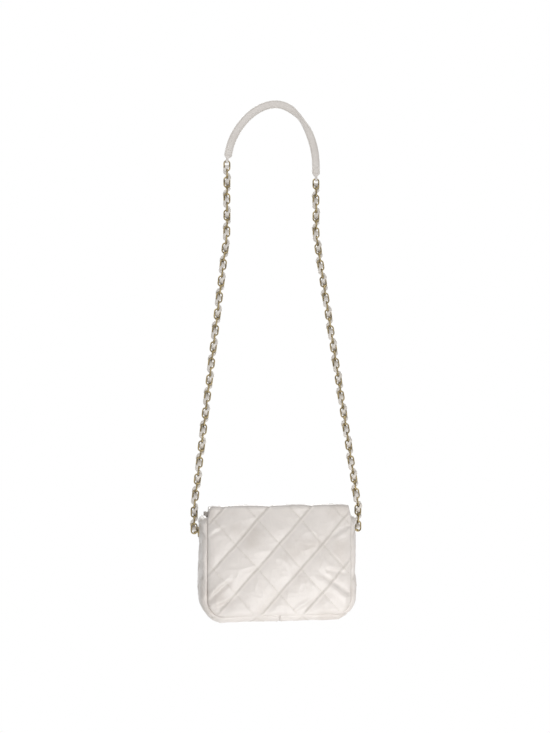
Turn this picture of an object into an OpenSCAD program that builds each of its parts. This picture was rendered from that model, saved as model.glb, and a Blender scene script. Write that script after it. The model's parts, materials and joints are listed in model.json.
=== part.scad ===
// Chain shoulder bag: a quilted leather body with a fold-over flap and a hidden magnetic snap,
// carried by a cable chain with a leather ribbon woven through its links, which runs from an
// eyelet in each gusset up to a leather shoulder piece.
// It hangs from its shoulder piece. The origin is the underside of that piece's crest, +Z is up,
// +X runs across the bag and the flap closes over the side that faces +Y.

/* [Body] */
// Width of the back and front panels between their side seams
panel_w = 190; // [160:1:240]
// Height of the back fold above the underside of the base
body_h = 152; // [130:1:190]
// Depth between the two panels where the gusset joins them
body_d = 58; // [50:1:80]
// Radius of the lower corners of the panels
panel_corner_r = 22; // [12:1:28]
// How far the padded gusset stands out beyond the panel seam
gusset_puff = 9; // [7:0.5:12]
// Height of the top of the gusset above the base
gusset_h = 137; // [120:1:145]
// Height of the front panel's mouth edge above the base
mouth_h = 141; // [122:1:146]
// Width of the seam allowance turned in behind each panel
seam_w = 6; // [4:0.5:8]

/* [Layers] */
// Thickness of the outer leather
leather_t = 1.2; // [0.9:0.1:1.6]
// Thickness of the wadding in the gusset
gusset_wadding_t = 2; // [1.5:0.1:3]
// Thickness of the lining cloth with its backing
lining_t = 0.8; // [0.5:0.1:1.2]
// Thickness of the leather that binds the mouth edge
binding_t = 0.8; // [0.6:0.1:1]
// Height of the binding's legs on the panel's mouth edge
binding_h = 12; // [8:1:18]

/* [Flap] */
// Width of the flap at the back fold
flap_w = 184; // [150:1:188]
// Width of the flap above its rounded front corners
flap_front_w = 174; // [140:1:176]
// Height of the flap's free edge above the base
flap_edge_h = 56; // [40:1:80]
// Radius of the flap's rounded corners
flap_corner_r = 34; // [20:1:50]
// Outer radius of the bend where the flap turns down over the front
flap_bend_r = 9; // [8:0.5:14]
// Gap between the closed flap and the front panel, which the snap fills
flap_gap = 2.6; // [2.4:0.1:4]

/* [Quilting] */
// Distance between the quilting's crossings along a row
quilt_pitch_w = 57.4; // [45:0.1:70]
// Distance between the rows of crossings
quilt_pitch_h = 64.7; // [50:0.1:80]
// Height above the base of the first row of crossings on the back
quilt_crossing_h = 103.6; // [90:0.1:120]
// Distance of a crossing to the left of the middle
quilt_offset = 1.4; // [0:0.1:10]
// Width of a sewn channel between the crowns beside it
quilt_channel_w = 24; // [16:1:28]
// How far the padding stands out on the back and on the front of the flap
quilt_puff = 4; // [2:0.25:5]
// How far the padding stands out on top of the flap
quilt_top_puff = 2.2; // [1:0.1:3]
// Width of the slope at the quilting's outer edge
quilt_edge_w = 8; // [5:0.5:10]
// Distance below the back panel's top at which the quilting stops
quilt_back_gap = 6; // [4:1:12]
// Distance in front of the back fold at which the quilting on top starts
quilt_top_gap = 12; // [10:1:16]

/* [Inside] */
// Width of the slip pocket
pocket_w = 124; // [80:1:140]
// Height of the slip pocket
pocket_h = 78; // [50:1:90]
// Inside depth of the slip pocket
pocket_d = 5; // [4.6:0.1:8]
// Height of the slip pocket's lower edge above the base
pocket_z = 30; // [20:1:40]

/* [Snap] */
// Diameter of the two halves of the magnetic snap
snap_d = 15; // [12:0.5:18]
// Height of the snap's centre above the base
snap_h = 76; // [70:1:90]
// Thickness of the socket's case
socket_t = 1.3; // [1:0.1:1.3]
// Thickness of the stud's plate
stud_plate_t = 1; // [0.8:0.1:1]
// Diameter of the stud's boss
stud_boss_d = 6.4; // [5:0.1:7]
// Diameter of the two shanks that pass through the leather
shank_d = 4; // [3:0.1:5]
// Diameter of the washers behind the leather
snap_washer_d = 12; // [9:0.5:14]
// Thickness of the washers behind the leather
snap_washer_t = 0.6; // [0.5:0.1:1]

/* [Eyelets] */
// Distance of the eyelets' common axis below the top of the gusset
eyelet_drop = 20; // [18:1:37]
// Outside diameter of the eyelet's flange
eyelet_flange_d = 13.6; // [12.5:0.1:14.5]
// Bore of the eyelet
eyelet_bore_d = 8.4; // [8:0.1:9]
// Wall of the eyelet's barrel
eyelet_wall = 0.7; // [0.5:0.1:0.9]
// Thickness of the eyelet's flange and of its washer
eyelet_flange_t = 0.9; // [0.7:0.1:1.1]
// Thickness of the keeper bar that stops the end link inside the bag
keeper_d = 2.6; // [2.2:0.1:2.8]
// Length of the keeper bar
keeper_l = 14; // [12:0.5:18]

/* [Chain] */
// Diameter of the chain's wire
wire_d = 2; // [1.8:0.05:2.1]
// Inside length of a link
link_inner_l = 11.25; // [11.2:0.05:11.6]
// Inside width of a link
link_inner_w = 5.4; // [5.2:0.05:5.8]
// Height that each link adds to a hanging strand
link_rise = 10.9; // [10.7:0.05:10.95]
// Inside width of the narrow end link that passes through an eyelet
end_link_inner_w = 3; // [2.9:0.05:3.2]
// Distance of the strands from the middle of the bag, at the eyelets
strand_low_x = 110; // [106:0.5:124]
// Distance of the left strand from the middle of the bag, at the shoulder piece
strand_left_x = 66.5; // [50:0.5:80]
// Distance of the right strand from the middle of the bag, at the shoulder piece
strand_right_x = 53; // [40:0.5:80]
// Height above the base at which the strands start to lean inwards
strand_low_h = 150; // [140:1:170]
// Height above the base at which the strands stand upright again
strand_high_h = 511; // [480:1:530]

/* [Ribbon] */
// Width of the leather ribbon where it fills a link's window
ribbon_w = 4.7; // [3.5:0.1:4.8]
// Thickness of the leather ribbon
ribbon_t = 1.7; // [1.2:0.1:1.8]
// Width of the ribbon where two links pinch it
ribbon_pinch_w = 1.9; // [1.5:0.1:2]

/* [Shoulder piece] */
// Width of the padded shoulder band
band_w = 10.4; // [9.6:0.1:14]
// Thickness of the padded shoulder band
band_t = 4.8; // [4.6:0.1:6]
// Height of the band's crest above the top junction of the left strand
crest_rise = 77.5; // [60:0.5:110]
// Length of the stitched band ends that hold the top links
end_l = 16; // [13:0.5:20]
// Lean of the left band end towards the crest, in degrees
end_left_lean = 12; // [0:1:12]
// Width of the tongue that passes through a top link
tongue_w = 3.2; // [2.8:0.1:3.4]
// Thickness of the tongue's leather
tongue_t = 0.8; // [0.7:0.05:1]

/* [Hidden] */

LEATHER = "ivory";
PADDING = "whitesmoke";
CLOTH = "wheat";
GOLD = "goldenrod";
STEEL = "silver";
BOARD = "tan";

over = leather_t;                 // overrun of every cut
fit = 0.1;                        // clearance round shanks, washers and barrels
boss_swing = 1.4;                 // room for the stud's boss as the flap swings it in and out

// Layer depths, measured inwards from the outer face of the leather.
wadding_end = leather_t + gusset_wadding_t;
lining_end = wadding_end + lining_t;
half_d = body_d / 2;
roll_r = gusset_puff;             // the gusset's edges roll over in quarter circles
roll_y = half_d - roll_r;         // where those quarter circles are centred
half_w = panel_w / 2;
seam_z = gusset_puff;             // height of the panels' lower seam
corner_z = seam_z + panel_corner_r;
corner_x = half_w - panel_corner_r;
shoulder_z = gusset_h - gusset_puff;
eyelet_h = gusset_h - eyelet_drop;

// The panels and the flap have wadding as deep as the gusset's leather and wadding together,
// so that the layers meet face to face along the seams.
panel_wadding_t = wadding_end;

// Flap section, seen from the side.
flap_wadding_end = leather_t + panel_wadding_t;
flap_t = flap_wadding_end + lining_t;
fold_y = -half_d - leather_t + flap_t / 2;
fold_z = body_h - flap_t / 2;
fold_gap = 0.3;                   // between the flap's roll and the top of the back panel
panel_top_z = fold_z - flap_t / 2 - fold_gap;
flap_out_y = half_d + leather_t + flap_gap + flap_t;
bend_y = flap_out_y - flap_bend_r;
bend_z = body_h - flap_bend_r;
flap_rim = leather_t;             // turned edge of leather round the flap

// Quilting: distances along the leather from the back seam to the flap's top and front.
top_s = fold_z - seam_z + PI * flap_t / 4;
front_s = top_s + bend_y - fold_y + PI * flap_bend_r / 2;
crossing_s = quilt_crossing_h - seam_z;
quilt_angle = atan2(quilt_pitch_h, quilt_pitch_w);
quilt_rim = leather_t;                         // the leather's quilting starts this far in
quilt_wadding_rim = seam_w + leather_t;        // and the wadding's, clear of the turned-in gusset
quilt_sink = leather_t / 2;                    // its base lies this deep in what carries it
quilt_floor = 0.3;                             // padding left under the stitches
quilt_upper_r = quilt_wadding_rim + quilt_edge_w + leather_t;
quilt_corner_steps = 4;
// A channel is steep beside the stitches: shares of its half width and of its depth.
channel_shares = [[-1, 0], [-0.4, 0.45], [0, 1], [0.4, 0.45], [1, 0]];
// The quilting's edge rolls over: shares of the edge's width and of the puff.
quilt_edge_shares = [[0.35, 0.65], [1, 1]];

// Chain: link k runs from junction k to junction k + 1, counted up from the eyelet.
mid_link_count = 20;
high_link_count = 40;
left_link_count = 45;
right_link_count = 43;
link_r = (link_inner_w + wire_d) / 2;
link_bar = link_inner_l - link_inner_w;
link_reach = (link_inner_l + wire_d) / 2;      // from a link's centre to its wire's centre at the end
end_link_r = (end_link_inner_w + wire_d) / 2;
gusset_x = half_w + gusset_puff;
end_link_out_x = strand_low_x;                 // the end link's wire centre, outside the bag
keeper_gap = 0.25;                             // play of the keeper bar and of the end link on it
keeper_x = gusset_x - lining_end - eyelet_flange_t - keeper_gap - keeper_d / 2;
end_link_in_x = keeper_x - keeper_d / 2 - keeper_gap - wire_d / 2;
ribbon_offset = wire_d / 2 + ribbon_pinch_w / 2 + fit;
ribbon_sides = 6;

// Heights and places of the shoulder piece.
crest_h = junction_h(left_link_count) + crest_rise;
rest_h = crest_h - band_w / 2;
tongue_gap = 0.75;                 // room for the top link's curved wire in the tongue's turn
tongue_drop_share = 0.8;           // the part of that gap which the link's pull takes up
tongue_hole_r = wire_d / 2 + tongue_gap;
tongue_drop = tongue_drop_share * tongue_gap;
crest = [0, crest_h];
band_rings = 34;
band_twist = 70;
band_twist_at_share = 0.72;
band_twist_width_share = 0.11;
crest_handle_share = 0.5;
left_handle_share = 0.42;
right_handle_share = 0.56;

facets = 64;
wire_facets = 24;

// Moves a piece from heights above the base into the frame of the shoulder rest.
module hang() {
    translate([0, 0, -rest_h]) children();
}

// Extrudes a side profile, drawn as [y, z], across the bag.
module across(w) {
    translate([-w / 2, 0, 0])
        rotate([90, 0, 90])
            linear_extrude(w) children();
}

// Extrudes a front outline, drawn as [x, z], from y0 to y1.
module front_to_back(y0, y1) {
    translate([0, y1, 0])
        rotate([90, 0, 0])
            linear_extrude(y1 - y0) children();
}

// Copies a piece of the right-hand side to the side asked for: 1 is right, -1 is left.
module on_side(side) {
    if (side > 0) children();
    else mirror([1, 0, 0]) children();
}

// Outline of a panel, drawn in from the seam by inset, up to the height top.
module panel_outline(inset, top) {
    r = panel_corner_r - inset;
    difference() {
        translate([-half_w + inset, seam_z + inset])
            square([panel_w - 2 * inset, top - seam_z - inset]);
        for (s = [-1, 1])
            translate([s * corner_x, corner_z])
                difference() {
                    translate([s > 0 ? 0 : -r - over, -r - over]) square(r + over);
                    circle(r, $fn = facets);
                }
    }
}

// Trims the corners of a panel that rises beside the flap's root, down to the flap's width.
module top_taper(inset) {
    for (s = [-1, 1])
        polygon([
            [s * (flap_w / 2 - inset), panel_top_z + over],
            [s * (flap_w / 2 - inset), panel_top_z],
            [s * (half_w - inset), gusset_h],
            [s * (half_w + over), gusset_h],
            [s * (half_w + over), panel_top_z + over]
        ]);
}

// Section through the gusset down to a given depth below its outer face, open towards the bag.
module gusset_core(depth, reach) {
    r = roll_r - depth;
    translate([-reach, -roll_y - r]) square([reach, 2 * (roll_y + r)]);
    translate([0, -roll_y]) square([r, 2 * roll_y]);
    intersection() {
        for (s = [-1, 1])
            translate([0, s * roll_y]) circle(r, $fn = facets);
        translate([0, -half_d - over]) square([r + over, body_d + 2 * over]);
    }
}

// One layer of the gusset's section, between two depths.
module gusset_layer(from, to) {
    difference() {
        gusset_core(from, seam_w);
        gusset_core(to, seam_w + over);
    }
}

// The part of a layer that stands outside the panel seam.
module gusset_layer_outside(from, to) {
    intersection() {
        gusset_layer(from, to);
        translate([0, -half_d - over]) square([gusset_puff + over, body_d + 2 * over]);
    }
}

// The part of a layer that is turned in behind the panels.
module gusset_layer_inside(from, to) {
    intersection() {
        gusset_layer(from, to);
        translate([-seam_w - over, -half_d - over]) square([seam_w + over, body_d + 2 * over]);
    }
}

// The right half of one gusset layer: half the base, the corner, the side and its closed top.
module gusset_half(from, to) {
    difference() {
        union() {
            translate([0, 0, seam_z])
                rotate([0, 90, 0])
                    linear_extrude(corner_x) gusset_layer(from, to);
            translate([corner_x, 0, corner_z])
                rotate([90, 90, 0])
                    rotate_extrude(angle = 90, $fn = facets)
                        translate([panel_corner_r, 0]) gusset_layer(from, to);
            translate([half_w, 0, corner_z])
                linear_extrude(shoulder_z - corner_z) gusset_layer(from, to);
            translate([half_w, 0, shoulder_z])
                linear_extrude(gusset_h - shoulder_z) gusset_layer_inside(from, to);
            translate([half_w, 0, shoulder_z])
                rotate([90, 0, 0])
                    rotate_extrude(angle = 90, $fn = facets) gusset_layer_outside(from, to);
        }
        eyelet_hole();
    }
}

// The hole that the eyelet's barrel is set in.
module eyelet_hole() {
    translate([half_w - seam_w, 0, eyelet_h])
        rotate([0, 90, 0])
            cylinder(
                d = eyelet_bore_d + 2 * (eyelet_wall + fit),
                h = seam_w + gusset_puff + over,
                $fn = facets
            );
}

// Round hole for a snap's shank, or the seat of its washer, along the depth of the bag.
module snap_bore(d, y0, y1) {
    translate([0, y1, snap_h])
        rotate([90, 0, 0]) cylinder(d = d, h = y1 - y0, $fn = facets);
}

// Skin of triangles over a stack of rings with the same number of points.
// The diagonals lean one way, or the other when flip is true.
module ring_sweep(rings, flip = false) {
    n = len(rings[0]);
    m = len(rings);
    points = [for (ring = rings) for (p = ring) p];
    sides = [
        for (i = [0 : m - 2]) for (j = [0 : n - 1])
            let (a = i * n + j, b = i * n + (j + 1) % n, c = a + n, d = b + n)
                each flip ? [[a, c, b], [b, c, d]] : [[a, d, b], [a, c, d]]
    ];
    first = [for (j = [1 : n - 2]) [0, j, j + 1]];
    last = [for (j = [1 : n - 2]) [(m - 1) * n, (m - 1) * n + j + 1, (m - 1) * n + j]];
    polyhedron(points = points, faces = concat(sides, first, last), convexity = 6);
}

// Outline w wide from 0 up to h, with rounded corners, drawn in by d and raised by z.
function quilt_ring(w, h, low_r, high_r, d, z) = [
    for (q = [0 : 3]) for (i = [0 : quilt_corner_steps])
        let (
            turn = 90 * (q + i / quilt_corner_steps - 1),
            r = q == 0 || q == 3 ? low_r : high_r,
            side = q < 2 ? 1 : -1,
            centre = [side * (w / 2 - r), q == 0 || q == 3 ? r : h - r]
        )
        [centre[0] + (r - d) * cos(turn), centre[1] + (r - d) * sin(turn), z]
];

// Quilted padding that stands up from a flat outline, with sewn channels nearly down to it.
// Two channels cross at the place given, and at every pitch from there.
module quilting(w, h, low_r, high_r, rim, crossing, puff) {
    half_channel = quilt_channel_w / 2;
    channel_depth = puff - quilt_floor;
    count = ceil((w / 2 + h) / quilt_pitch_w);
    difference() {
        ring_sweep([
            quilt_ring(w, h, low_r, high_r, rim, -quilt_sink),
            for (e = quilt_edge_shares)
                quilt_ring(w, h, low_r, high_r, rim + e[0] * quilt_edge_w, e[1] * puff)
        ]);
        for (n = [-count : count]) for (way = [-1, 1])
            translate([crossing[0] + n * quilt_pitch_w, crossing[1], puff])
                rotate([90, 0, 90 + way * quilt_angle])
                    linear_extrude(2 * (w + h), center = true)
                        polygon([
                            [-half_channel, over],
                            for (c = channel_shares) [c[0] * half_channel, -c[1] * channel_depth],
                            [half_channel, over]
                        ]);
    }
}

// Quilting of the back panel, whose base lies at the given depth in the leather.
module back_quilting(rim, depth) {
    translate([0, -half_d - leather_t + depth, seam_z])
        rotate([90, 0, 0])
            quilting(panel_w, panel_top_z - quilt_back_gap - seam_z,
                max(panel_corner_r, quilt_upper_r), quilt_upper_r,
                rim, [-quilt_offset, crossing_s], quilt_puff);
}

module back_panel() {
    color(LEATHER) hang()
        difference() {
            union() {
                front_to_back(-half_d - leather_t, -half_d)
                    difference() {
                        panel_outline(0, panel_top_z);
                        top_taper(0);
                    }
                back_quilting(quilt_rim, 0);
            }
            back_quilting(quilt_wadding_rim, leather_t);
        }
}

module back_wadding() {
    color(PADDING) hang() {
        front_to_back(-half_d, -half_d + panel_wadding_t)
            difference() {
                panel_outline(seam_w, panel_top_z);
                top_taper(seam_w);
            }
        back_quilting(quilt_wadding_rim, leather_t);
    }
}

module back_lining() {
    color(CLOTH) hang()
        front_to_back(-half_d + wadding_end, -half_d + lining_end)
            difference() {
                panel_outline(seam_w, panel_top_z);
                top_taper(seam_w);
            }
}

module front_panel() {
    color(LEATHER) hang()
        difference() {
            front_to_back(half_d, half_d + leather_t) panel_outline(0, mouth_h);
            snap_bore(shank_d + 2 * fit, half_d - over, half_d + leather_t + over);
        }
}

module front_wadding() {
    color(PADDING) hang()
        difference() {
            front_to_back(half_d - panel_wadding_t, half_d) panel_outline(seam_w, mouth_h);
            snap_bore(snap_washer_d + 2 * fit, half_d - snap_washer_t, half_d + over);
        }
}

module front_lining() {
    color(CLOTH) hang()
        front_to_back(half_d - lining_end, half_d - wadding_end) panel_outline(seam_w, mouth_h);
}

// Leather folded over the mouth edge of the front panel.
module mouth_binding() {
    inner_y = half_d - lining_end;
    outer_y = half_d + leather_t;
    width = panel_w - 2 * seam_w;
    color(LEATHER) hang()
        across(width)
            difference() {
                translate([inner_y - binding_t, mouth_h - binding_h])
                    square([outer_y - inner_y + 2 * binding_t, binding_h + binding_t]);
                translate([inner_y, mouth_h - binding_h - over])
                    square([outer_y - inner_y, binding_h + over]);
            }
}

module gusset_left() {
    color(LEATHER) hang() on_side(-1) gusset_half(0, leather_t);
}

module gusset_right() {
    color(LEATHER) hang() on_side(1) gusset_half(0, leather_t);
}

// Space taken out of the base's wadding for the stiff board.
module board_shape(extra) {
    translate([-corner_x, -roll_y, leather_t - extra])
        cube([2 * corner_x, 2 * roll_y, gusset_wadding_t + 2 * extra]);
}

module gusset_wadding() {
    color(PADDING) hang()
        difference() {
            union()
                for (side = [-1, 1])
                    on_side(side) gusset_half(leather_t, wadding_end);
            board_shape(over / 2);
        }
}

module gusset_lining() {
    color(CLOTH) hang()
        union()
            for (side = [-1, 1])
                on_side(side) gusset_half(wadding_end, lining_end);
}

module base_board() {
    color(BOARD) hang() board_shape(0);
}

// Patch pocket on the back lining, open at its top.
module slip_pocket() {
    back_y = -half_d + lining_end;
    color(CLOTH) hang()
        translate([-pocket_w / 2, back_y, pocket_z])
            difference() {
                cube([pocket_w, pocket_d + lining_t, pocket_h]);
                translate([lining_t, -over, lining_t])
                    cube([pocket_w - 2 * lining_t, pocket_d + over, pocket_h]);
            }
}

// Ring on the eyelet's axis, from x0 to x1 on the right-hand side.
module eyelet_ring(x0, x1, d_out, d_in) {
    translate([x0, 0, eyelet_h])
        rotate([0, 90, 0])
            difference() {
                cylinder(d = d_out, h = x1 - x0, $fn = facets);
                translate([0, 0, -over]) cylinder(d = d_in, h = x1 - x0 + 2 * over, $fn = facets);
            }
}

// Barrel and outer flange of an eyelet.
module eyelet(side) {
    color(GOLD) hang() on_side(side) {
        eyelet_ring(gusset_x - lining_end - eyelet_flange_t, gusset_x + eyelet_flange_t,
            eyelet_bore_d + 2 * eyelet_wall, eyelet_bore_d);
        eyelet_ring(gusset_x, gusset_x + eyelet_flange_t, eyelet_flange_d, eyelet_bore_d);
    }
}

module eyelet_left() {
    eyelet(-1);
}

module eyelet_right() {
    eyelet(1);
}

// Washer that the barrel is clenched over, against the lining.
module eyelet_washer(side) {
    color(GOLD) hang() on_side(side)
        eyelet_ring(gusset_x - lining_end - eyelet_flange_t, gusset_x - lining_end,
            eyelet_flange_d, eyelet_bore_d + 2 * (eyelet_wall + fit));
}

module eyelet_washer_left() {
    eyelet_washer(-1);
}

module eyelet_washer_right() {
    eyelet_washer(1);
}

// Magnetic socket on the front panel, with a recess for the stud's boss.
module snap_socket() {
    face_y = half_d + leather_t;
    recess_d = stud_boss_d + 2 * boss_swing;
    color(GOLD) hang()
        difference() {
            union() {
                snap_bore(snap_d, face_y, face_y + socket_t);
                snap_bore(shank_d, half_d - snap_washer_t, face_y + socket_t / 2);
            }
            snap_bore(recess_d, face_y + socket_t / 3, face_y + socket_t + over);
        }
}

module snap_socket_washer() {
    color(STEEL) hang()
        difference() {
            snap_bore(snap_washer_d, half_d - snap_washer_t, half_d);
            snap_bore(shank_d + 2 * fit, half_d - snap_washer_t - over, half_d + over);
        }
}

// Outline of the flap seen from the front, drawn in from its edge by inset.
module flap_outline(inset) {
    r = flap_corner_r - inset;
    half_root = flap_w / 2 - inset;
    half_front = flap_front_w / 2 - inset;
    corner = flap_edge_h + flap_corner_r;
    top = body_h + over;
    polygon([
        [-half_root, top],
        [-half_root, bend_z],
        [-half_front, corner],
        [half_front, corner],
        [half_root, bend_z],
        [half_root, top]
    ]);
    translate([-half_front + r, flap_edge_h + inset])
        square([2 * (half_front - r), r + over]);
    for (s = [-1, 1])
        intersection() {
            translate([s * (half_front - r), corner]) circle(r, $fn = facets);
            translate([-half_front, flap_edge_h]) square([2 * half_front, flap_corner_r + over]);
        }
}

// Side profile of the flap between two depths below its outer face, in front of the fold.
module flap_strip(from, to) {
    translate([fold_y, body_h - to]) square([bend_y - fold_y, to - from]);
    intersection() {
        difference() {
            translate([bend_y, bend_z]) circle(flap_bend_r - from, $fn = facets);
            translate([bend_y, bend_z]) circle(flap_bend_r - to, $fn = facets);
        }
        translate([bend_y, bend_z]) square(flap_bend_r + over);
    }
    translate([flap_out_y - to, flap_edge_h - over])
        square([to - from, bend_z - flap_edge_h + over]);
}

// Half of the round roll at the back fold, behind the hinge's axis.
module fold_roll(r) {
    intersection() {
        translate([fold_y, fold_z]) circle(r, $fn = facets);
        translate([fold_y - flap_t, fold_z - flap_t]) square([flap_t, 2 * flap_t]);
    }
}

// The flap's padding and lining together, which its leather closes round.
module flap_inside(from, to) {
    intersection() {
        across(flap_w) flap_strip(from, to);
        front_to_back(-2 * half_d, 2 * half_d) flap_outline(flap_rim);
    }
}

// Quilting of the flap's front and top, whose base lies at the given depth in the leather.
module flap_quilting(rim, depth) {
    front_crossing = bend_z - flap_edge_h - (crossing_s + 2 * quilt_pitch_h - front_s);
    top_crossing = crossing_s + quilt_pitch_h - top_s - quilt_top_gap;
    translate([0, flap_out_y - depth, flap_edge_h])
        rotate([90, 0, 180])
            quilting(flap_front_w, bend_z - flap_edge_h, flap_corner_r, quilt_upper_r,
                rim, [quilt_offset, front_crossing], quilt_puff);
    translate([0, fold_y + quilt_top_gap, body_h - depth])
        quilting(flap_w, bend_y - fold_y - quilt_top_gap, quilt_upper_r, quilt_upper_r,
            rim, [-quilt_offset, top_crossing], quilt_top_puff);
}

module flap_leather() {
    color(LEATHER) hang()
        difference() {
            union() {
                intersection() {
                    across(flap_w) {
                        flap_strip(0, flap_t);
                        fold_roll(flap_t / 2);
                    }
                    front_to_back(-2 * half_d, 2 * half_d) flap_outline(0);
                }
                flap_quilting(quilt_rim, 0);
            }
            flap_inside(leather_t, flap_t + over);
            flap_quilting(quilt_wadding_rim, leather_t);
        }
}

module flap_wadding() {
    color(PADDING) hang()
        difference() {
            union() {
                flap_inside(leather_t, flap_wadding_end);
                flap_quilting(quilt_wadding_rim, leather_t);
            }
            snap_bore(snap_washer_d + 2 * fit, flap_out_y - flap_wadding_end - over,
                flap_out_y - flap_wadding_end + snap_washer_t);
        }
}

module flap_lining() {
    color(LEATHER) hang()
        difference() {
            flap_inside(flap_wadding_end, flap_t);
            snap_bore(shank_d + 2 * fit, flap_out_y - flap_t - over, flap_out_y - flap_wadding_end + over);
        }
}

// Stud on the flap's underside. Its boss enters the socket's recess.
module snap_stud() {
    face_y = flap_out_y - flap_t;
    boss_l = flap_gap - stud_plate_t - socket_t * 2 / 3;
    color(GOLD) hang() {
        snap_bore(snap_d, face_y - stud_plate_t, face_y);
        snap_bore(stud_boss_d, face_y - stud_plate_t - boss_l, face_y - stud_plate_t / 2);
        snap_bore(shank_d, face_y - stud_plate_t / 2, face_y + lining_t + snap_washer_t);
    }
}

module snap_stud_washer() {
    face_y = flap_out_y - flap_wadding_end;
    color(STEEL) hang()
        difference() {
            snap_bore(snap_washer_d, face_y, face_y + snap_washer_t);
            snap_bore(shank_d + 2 * fit, face_y - over, face_y + snap_washer_t + over);
        }
}

// Distance of a strand from the middle of the bag at height z: 1 is right, -1 is left.
function strand_top_x(side) = side > 0 ? strand_right_x : strand_left_x;
function strand_share(z) =
    min(1, max(0, (z - strand_low_h) / (strand_high_h - strand_low_h)));
function strand_x(side, z) =
    side * (strand_low_x + (strand_top_x(side) - strand_low_x) * strand_share(z));
function junction_h(k) = eyelet_h - wire_d / 2 + k * link_rise;
function junction(side, k) = [strand_x(side, junction_h(k)), 0, junction_h(k)];
function middle(a, b) = (a + b) / 2;
// Lean of the stretch between two junctions away from upright, in degrees.
function lean(side, k0, k1) =
    let (d = junction(side, k1) - junction(side, k0)) atan2(d[0], d[2]);

// Stadium-shaped link of round wire, upright and facing the front.
module link(r, bar) {
    for (end = [-1, 1])
        translate([0, 0, end * bar / 2])
            rotate([90, 0, 0])
                rotate([0, 0, end > 0 ? 0 : 180])
                    rotate_extrude(angle = 180, $fn = facets)
                        translate([r, 0]) circle(d = wire_d, $fn = wire_facets);
    for (rail = [-1, 1])
        translate([rail * r, 0, -bar / 2]) cylinder(d = wire_d, h = bar, $fn = wire_facets);
}

// Links first to last of a strand. Every other one stands edge on.
module strand(side, first, last) {
    color(GOLD) hang()
        for (k = [first : last])
            translate(middle(junction(side, k), junction(side, k + 1)))
                rotate([0, lean(side, k, k + 1), 0])
                    rotate([0, 0, k % 2 == 0 ? 0 : 90]) link(link_r, link_bar);
}

module chain_lower_left() {
    strand(-1, 0, mid_link_count - 1);
}

module chain_lower_right() {
    strand(1, 0, mid_link_count - 1);
}

module chain_upper_left() {
    strand(-1, mid_link_count, high_link_count - 1);
}

module chain_upper_right() {
    strand(1, mid_link_count, high_link_count - 1);
}

module chain_top_left() {
    strand(-1, high_link_count, left_link_count - 1);
}

module chain_top_right() {
    strand(1, high_link_count, right_link_count - 1);
}

// Narrow link that lies through the eyelet, and holds the strand's first link outside.
module end_link(side) {
    bar = end_link_out_x - end_link_in_x - 2 * end_link_r;
    color(GOLD) hang() on_side(side)
        translate([(end_link_out_x + end_link_in_x) / 2, 0, eyelet_h])
            rotate([90, 0, 90]) link(end_link_r, bar);
}

module end_link_left() {
    end_link(-1);
}

module end_link_right() {
    end_link(1);
}

// Bar through the end link, across the eyelet's washer inside the bag.
module keeper_bar(side) {
    color(GOLD) hang() on_side(side)
        translate([keeper_x, 0, eyelet_h - keeper_l / 2])
            cylinder(d = keeper_d, h = keeper_l, $fn = wire_facets);
}

module keeper_bar_left() {
    keeper_bar(-1);
}

module keeper_bar_right() {
    keeper_bar(1);
}

// The ribbon winds once round the strand in four links: it goes through a front-facing link
// from front to back or back to front, and through an edge-on link from side to side.
// Stations of a link, as shares of its length up from its lower junction.
ribbon_low_share = 0.19;
ribbon_mid_share = 0.5;
ribbon_station_shares = [0, ribbon_low_share, ribbon_mid_share, 1 - ribbon_low_share];
function quadrant(k) =
    let (q = (k % 4 + 4) % 4) [q >= 2 ? 1 : -1, q == 1 || q == 2 ? 1 : -1];
// Place of the ribbon's centre across the strand, at a station of link k.
function ribbon_place(k, s) =
    s == ribbon_mid_share ? [0, 0] : ribbon_offset * (s < ribbon_mid_share ? quadrant(k) : quadrant(k + 1));
// Half the ribbon's size along x and y at a station of link k.
function ribbon_size(k, s) =
    s != ribbon_mid_share ? [ribbon_pinch_w / 2, ribbon_pinch_w / 2]
    : k % 2 == 0 ? [ribbon_w / 2, ribbon_t / 2]
    : [ribbon_t / 2, ribbon_w / 2];
function ribbon_ring(side, k, s) =
    let (
        tilt = s == 0 ? lean(side, k - 1, k + 1) : lean(side, k, k + 1),
        base = junction(side, k) + s * (junction(side, k + 1) - junction(side, k)),
        place = ribbon_place(k, s),
        size = ribbon_size(k, s)
    )
    [
        for (j = [0 : ribbon_sides - 1])
            let (
                turn = 360 / ribbon_sides * j,
                u = place[0] + size[0] * cos(turn),
                v = place[1] + size[1] * sin(turn)
            )
            base + [u * cos(tilt), v, -u * sin(tilt)]
    ];

// Ribbon from the middle of link first to the station at share s_end of link last.
module ribbon(side, first, last, s_end) {
    color(LEATHER) hang()
        ring_sweep([
            for (k = [first : last]) for (s = ribbon_station_shares)
                if ((k > first || s >= ribbon_mid_share) && (k < last || s <= s_end))
                    ribbon_ring(side, k, s)
        ]);
}

module ribbon_lower_left() {
    ribbon(-1, 0, mid_link_count - 1, ribbon_mid_share);
}

module ribbon_lower_right() {
    ribbon(1, 0, mid_link_count - 1, ribbon_mid_share);
}

module ribbon_upper_left() {
    ribbon(-1, mid_link_count, high_link_count - 1, ribbon_mid_share);
}

module ribbon_upper_right() {
    ribbon(1, mid_link_count, high_link_count - 1, ribbon_mid_share);
}

module ribbon_top_left() {
    ribbon(-1, high_link_count, left_link_count - 1, ribbon_low_share);
}

module ribbon_top_right() {
    ribbon(1, high_link_count, right_link_count - 1, ribbon_low_share);
}

// Wire centre of the top link of a strand, where the band end holds it.
function top_count(side) = side > 0 ? right_link_count : left_link_count;
function top_wire(side) =
    let (k = top_count(side) - 1, c = middle(junction(side, k), junction(side, k + 1)))
        [c[0], c[2] + link_reach];
function end_lean(side) = side > 0 ? 0 : end_left_lean;
function band_start(side) =
    top_wire(side) + end_l * [sin(end_lean(side)), cos(end_lean(side))];

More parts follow.
